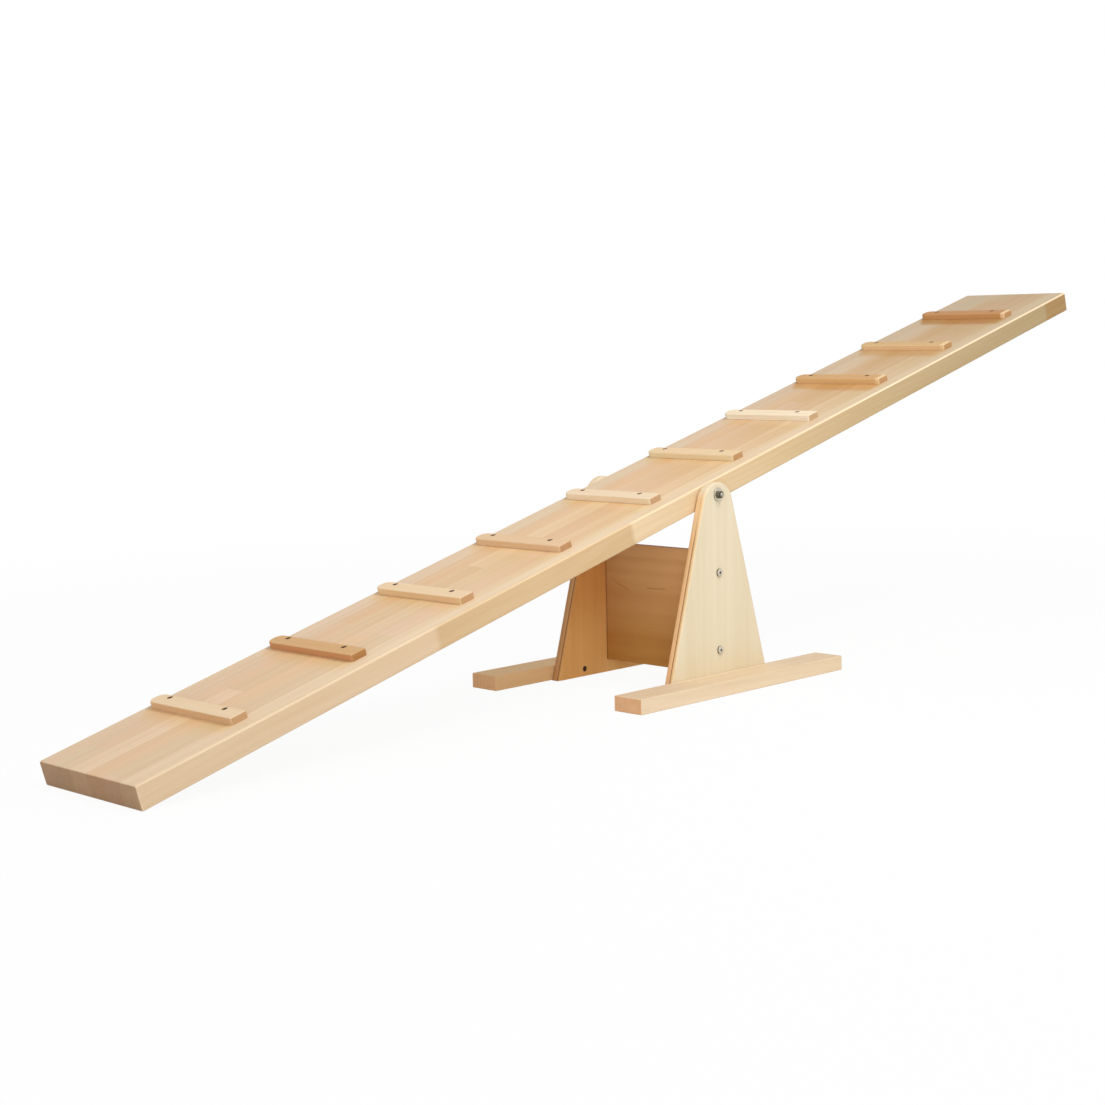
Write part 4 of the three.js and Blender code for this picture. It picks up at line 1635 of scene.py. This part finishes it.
    def build_bolt(self, side: int, level: float, node: str, material: bpy.types.Material) -> None:
        """Builds a connector bolt: a flat round head with a hexagonal socket and a threaded shank.

        Args:
            side: -1 for the near side, 1 for the far side.
            level: Its height.
            node: Name of the plain piece that it stands for.
            material: Its finish.
        """
        tip = self.inner - self.barrel_depth - self.barrel_radius - self.beyond_nut
        top = self.outer + self.bolt_head_height
        edge = rolled_rim(self.bolt_head_radius, top, self.bolt_head_round)
        profile = [
            (0.0, tip), (self.bolt_radius - self.bolt_chamfer, tip),
            (self.bolt_radius, tip + self.bolt_chamfer), (self.bolt_radius, self.outer),
        ]
        thread = Thread(tip, tip + self.bolt_thread_length, self.bolt_pitch, self.bolt_thread_depth)
        segments = 32
        skin = Skin(facing_side(side, level))
        spin(skin, [*profile, profile[-1]], segments, thread)
        spin(skin, [profile[-1], (self.bolt_head_radius, self.outer), *edge], segments)
        rim = circle(edge[-1][0], segments)
        recess(
            skin, rim, hexagon(self.socket_across_flats), top, top - self.socket_depth, self.socket_taper,
        )
        add_piece(skin, node, "stand", material)

    def build_barrel(self, side: int, level: float, node: str, material: bpy.types.Material) -> None:
        """Builds a barrel nut: a round bar along X with a driver's slot in its end.

        Args:
            side: -1 for the near side, 1 for the far side.
            level: Its height.
            node: Name of the plain piece that it stands for.
            material: Its finish.
        """
        half = self.barrel_length / 2
        slot_floor = half - self.barrel_slot_depth
        edge = math.asin(self.barrel_slot_width / 2 / self.barrel_radius)
        count = 25
        upper = np.linspace(edge, math.pi - edge, count)
        angle = np.concatenate([upper, [math.pi], upper + math.pi, [2 * math.pi]])
        ring = self.barrel_radius * np.stack([np.cos(angle), np.sin(angle)], axis=1)
        skin = Skin(facing_high_end((0.0, side * (self.inner - self.barrel_depth), level)))
        skin.sheet(ring, [], -half)
        skin.grid(np.stack([raised(closed(ring), -half), raised(closed(ring), slot_floor)]))
        over, slot_end, under, slot_start = np.split(ring, [count, count + 1, 2 * count + 1])
        slot = np.concatenate([over[-1:], slot_end, under[:1], under[-1:], slot_start, over[:1]])
        skin.sheet(slot, [], slot_floor)
        for land in (over, under):
            skin.grid(np.stack([raised(closed(land), slot_floor), raised(closed(land), half)]))
            skin.sheet(land, [], half)
        add_piece(skin, node, "stand", material)

    def build_foot_screw(self, side: int, along: float, node: str, material: bpy.types.Material) -> None:
        """Builds a foot screw, which points outwards from the cheek's inner face.

        Args:
            side: -1 for the near side, 1 for the far side.
            along: Its place along the foot.
            node: Name of the plain piece that it stands for.
            material: Its finish.
        """
        inward = facing_side(-side)
        origin = (along, side * (self.inner + self.foot_screw_sink), self.foot_height / 2)
        skin = Skin(replace(inward, origin=origin))
        self.foot_screw.sew(skin)
        add_piece(skin, node, "stand", material)


@dataclass(frozen=True)
class Axle:
    """The threaded rod through both cheeks, the sleeve round it, and a washer and a lock nut at each end."""

    pivot: float
    inner: float
    outer: float
    radius: float = 4 * MM
    clearance: float = 0.25 * MM
    sleeve_radius: float = 7 * MM
    washer_radius: float = 12 * MM
    washer_thickness: float = 2 * MM
    washer_roll: float = 0.8 * MM
    washer_ease: float = 0.2 * MM
    nut_across_flats: float = 13 * MM
    nut_height: float = 5 * MM
    collar_height: float = 3 * MM
    collar_inset: float = 1.3 * MM
    collar_roll: float = 1 * MM
    nut_clearance: float = 0.1 * MM
    rim_ease: float = 0.3 * MM
    proud: float = 1.5 * MM
    pitch: float = 1.25 * MM
    thread_depth: float = 0.75 * MM
    thread_length: float = 30 * MM

    def build(self) -> None:
        """Builds the rod, the sleeve, the washers and the nuts."""
        nut_zinc = NUT_ZINC.material()
        washer_zinc = replace(WASHER_ZINC, face=self.outer + self.washer_thickness).material()
        rod_zinc = ROD_ZINC.material()
        self.build_rod(rod_zinc)
        self.build_sleeve(rod_zinc)
        for side, name in ((-1, "near"), (1, "far")):
            self.build_washer(side, f"axle_washer_{name}", washer_zinc)
            self.build_nut(side, f"axle_nut_{name}", nut_zinc)

    def build_rod(self, material: bpy.types.Material) -> None:
        """Builds the rod: plain in the middle, with a thread cut into each end."""
        end = self.outer + self.washer_thickness + self.nut_height + self.collar_height + self.proud
        chamfer = 1 * MM
        half_profile = [
            (self.radius, 0.0), (self.radius, end - chamfer), (self.radius - chamfer, end), (0.0, end),
        ]
        skin = Skin(facing_side(-1, self.pivot))
        threads = Thread(end - self.thread_length, end + self.pitch, self.pitch, self.thread_depth)
        for side in (-1, 1):
            end_part = Skin(facing_side(side, self.pivot))
            spin(end_part, [half_profile[0], *half_profile], segments=48, thread=threads)
            skin.absorb(end_part)
        add_piece(skin, "axle_rod", "stand", material)

    def build_sleeve(self, material: bpy.types.Material) -> None:
        """Builds the tube that keeps the cheeks apart and that the plank's bushes run on."""
        bore = self.radius + self.clearance
        eased = self.sleeve_radius - self.rim_ease
        straight = self.inner - self.rim_ease
        profile = [
            (bore, -self.inner), (eased, -self.inner), (self.sleeve_radius, -straight),
            (self.sleeve_radius, straight), (eased, self.inner), (bore, self.inner), (bore, -self.inner),
        ]
        skin = Skin(facing_side(1, self.pivot))
        spin(skin, profile, segments=64)
        add_piece(skin, "axle_sleeve", "stand", material)

    def build_washer(self, side: int, node: str, material: bpy.types.Material) -> None:
        """Builds a large punched washer, rounded on its outer side and eased on its inner one.

        Args:
            side: -1 for the near side, 1 for the far side.
            node: Name of the plain piece that it stands for.
            material: Its finish.
        """
        bore = self.radius + self.clearance
        top = self.outer + self.washer_thickness
        profile = [
            (bore, self.outer), (self.washer_radius - self.washer_ease, self.outer),
            (self.washer_radius, self.outer + self.washer_ease),
            *rolled_rim(self.washer_radius, top, self.washer_roll),
            (bore + self.rim_ease, top), (bore, top - self.rim_ease), (bore, self.outer),
        ]
        skin = Skin(facing_side(side, self.pivot))
        spin(skin, profile, segments=72)
        add_piece(skin, node, "stand", material)

    def build_nut(self, side: int, node: str, material: bpy.types.Material) -> None:
        """Builds a lock nut: a hexagon with turned corners, a round collar and its bore.

        The hexagon's radius at angle a is half the flats over cos(a - the middle of its flat). It is kept
        below a cone that starts at the flats on either end face, and that gives the turned corners.

        Args:
            side: -1 for the near side, 1 for the far side.
            node: Name of the plain piece that it stands for.
            material: Its finish.
        """
        seat = self.outer + self.washer_thickness
        top = seat + self.nut_height
        flat = self.nut_across_flats / 2
        corner = flat / math.cos(math.pi / 6)
        collar = flat - self.collar_inset
        bore = self.radius + self.nut_clearance
        segments = 72
        angle = np.linspace(0.0, 2 * math.pi, segments + 1)
        hexagonal = flat / np.cos(angle % (math.pi / 3) - math.pi / 6)
        chamfer = (corner - flat) / 2
        turned = np.linspace(0.0, chamfer, 7)
        rise = np.concatenate([turned, self.nut_height - turned[::-1]])
        cone = flat + 2 * np.minimum(rise, self.nut_height - rise)
        reach = np.minimum(hexagonal[None, :], cone[:, None])
        end = top + self.collar_height
        rings = [(bore, seat), (flat, seat)]
        crown = [
            (flat, top), (collar, top), (collar, end - self.collar_roll),
            *rolled_rim(collar, end, self.collar_roll, steps=6), (bore, end), (bore, seat),
        ]
        turning = np.stack([np.cos(angle), np.sin(angle)], axis=-1)[None]
        level = np.broadcast_to((seat + rise)[:, None, None], (*reach.shape, 1))
        skin = Skin(facing_side(side, self.pivot))
        spin(skin, rings, segments)
        skin.grid(np.concatenate([reach[..., None] * turning, level], axis=-1))
        spin(skin, crown, segments)
        add_piece(skin, node, "stand", material)


@dataclass(frozen=True)
class Photographer:
    """The camera, at the photograph's place, with its field of view."""

    position: tuple[float, float, float] = (-2.678633, -2.404506, 0.652572)
    heading: float = math.radians(45.026)
    tilt_down: float = math.radians(6.590)
    roll: float = math.radians(-1.225)
    lens: float = 64.609
    sensor: float = 36.0
    sight: float = 200.0

    def set_up(self) -> None:
        """Puts the camera in the scene and looks through it."""
        ahead = math.cos(self.tilt_down)
        forward = Vector((
            math.sin(self.heading) * ahead, math.cos(self.heading) * ahead, -math.sin(self.tilt_down),
        ))
        level = Vector((math.cos(self.heading), -math.sin(self.heading), 0.0))
        upward = level.cross(forward)
        right = level * math.cos(self.roll) + upward * math.sin(self.roll)
        above = upward * math.cos(self.roll) - level * math.sin(self.roll)
        data = bpy.data.cameras.new("photograph")
        data.lens = self.lens
        data.sensor_width = self.sensor
        data.clip_end = self.sight
        camera = add_object("photograph", data)
        camera.matrix_world = Matrix.Translation(Vector(self.position)) @ Matrix(
            (right, above, -forward),
        ).transposed().to_4x4()
        bpy.context.scene.camera = camera


@dataclass(frozen=True)
class Lamp:
    """A distant soft lamp: the way its light comes from, its strength and how wide it looks."""

    name: str
    comes_from: tuple[float, float, float]
    strength: float
    width: float

    def hang(self) -> None:
        """Puts the lamp in the scene."""
        data = bpy.data.lights.new(self.name, "SUN")
        data.energy = self.strength
        data.angle = self.width
        lamp = add_object(self.name, data)
        lamp.rotation_euler = Vector(self.comes_from).to_track_quat("Z", "Y").to_euler()


@dataclass(frozen=True)
class Softbox:
    """A square lamp: its place, the place that it is turned to, its side and its power."""

    name: str
    place: tuple[float, float, float]
    aim: tuple[float, float, float]
    side: float
    power: float

    def hang(self) -> None:
        """Puts the lamp in the scene."""
        data = bpy.data.lights.new(self.name, "AREA")
        data.energy = self.power
        data.size = self.side
        lamp = add_object(self.name, data)
        lamp.location = self.place
        lamp.rotation_euler = (Vector(self.place) - Vector(self.aim)).to_track_quat("Z", "Y").to_euler()


@dataclass(frozen=True)
class Studio:
    """A white floor and surround, with a soft lamp above the middle and a distant one low on the left."""

    lamps: tuple[Lamp | Softbox, ...] = (
        Softbox("high_lamp", (-0.2, -1.5, 2.8), (0.0, 0.0, 0.3), 1.3, 40.0),
        Lamp("low_lamp", (-0.75, -0.6, 0.3), 0.95, math.radians(40)),
    )
    surround: float = 0.5
    floor_size: float = 60.0
    floor_white: float = 0.92
    floor_share: float = 0.94
    shadow_span: tuple[float, float] = (1.0, 3.5)

    def set_up(self) -> None:
        """Makes the surround, the lamps and the floor."""
        self.light_surround()
        for lamp in self.lamps:
            lamp.hang()
        self.lay_floor()

    def seen(self, tree: bpy.types.NodeTree) -> Socket:
        """Gives 1 for rays that show the background itself, in the picture or in metal, and 0 for others."""
        path = tree.nodes.new("ShaderNodeLightPath")
        total = path.outputs["Is Camera Ray"]
        for name in ("Is Glossy Ray", "Is Transmission Ray"):
            added = tree.nodes.new("ShaderNodeMath")
            added.operation = "MAXIMUM"
            tree.links.new(total, added.inputs[0])
            tree.links.new(path.outputs[name], added.inputs[1])
            total = added.outputs[0]
        return total

    def light_surround(self) -> None:
        """Makes a surround that looks white and lights the object at a plain level."""
        world = bpy.data.worlds.new("white_surround")
        world.use_nodes = True
        bpy.context.scene.world = world
        tree = world.node_tree
        background = tree.nodes["Background"]
        background.inputs["Color"].default_value = (1.0, 1.0, 1.0, 1.0)
        strength = tree.nodes.new("ShaderNodeMapRange")
        tree.links.new(self.seen(tree), strength.inputs["Value"])
        strength.inputs["To Min"].default_value = self.surround
        strength.inputs["To Max"].default_value = 1.0
        tree.links.new(strength.outputs[0], background.inputs["Strength"])

    def lay_floor(self) -> None:
        """Lays a white floor that keeps a soft part of the object's shadow."""
        half = self.floor_size / 2
        mesh = bpy.data.meshes.new("floor")
        corners = [(-half, -half, 0.0), (half, -half, 0.0), (half, half, 0.0), (-half, half, 0.0)]
        mesh.from_pydata(corners, [], [(0, 1, 2, 3)])
        floor = add_object("floor", mesh)
        wiring = Wiring("white_floor")
        matt = wiring.node("BsdfDiffuse", (self.floor_white, self.floor_white, self.floor_white, 1.0))
        glow = wiring.node("Emission", (1.0, 1.0, 1.0, 1.0), 1.0)
        place = wiring.node("TexCoord").outputs["Object"]
        far = wiring.node("VectorMath", place, operation="LENGTH").outputs["Value"]
        white = wiring.smooth(far, *self.shadow_span, self.floor_share)
        share = wiring.math("MULTIPLY", self.seen(wiring.tree), white)
        mixed = wiring.node("MixShader", share, matt.outputs[0], glow.outputs[0])
        wiring.node("OutputMaterial", mixed.outputs[0])
        mesh.materials.append(wiring.material)


def main() -> None:
    """Builds the rocker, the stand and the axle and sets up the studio."""
    logging.basicConfig(level=logging.INFO)
    bpy.context.scene.view_settings.view_transform = "Standard"
    Photographer().set_up()
    Rocker().build()
    stand = Stand()
    stand.build()
    Axle(stand.pivot, stand.inner, stand.outer).build()
    Studio().set_up()


if __name__ == "__main__":
    main()
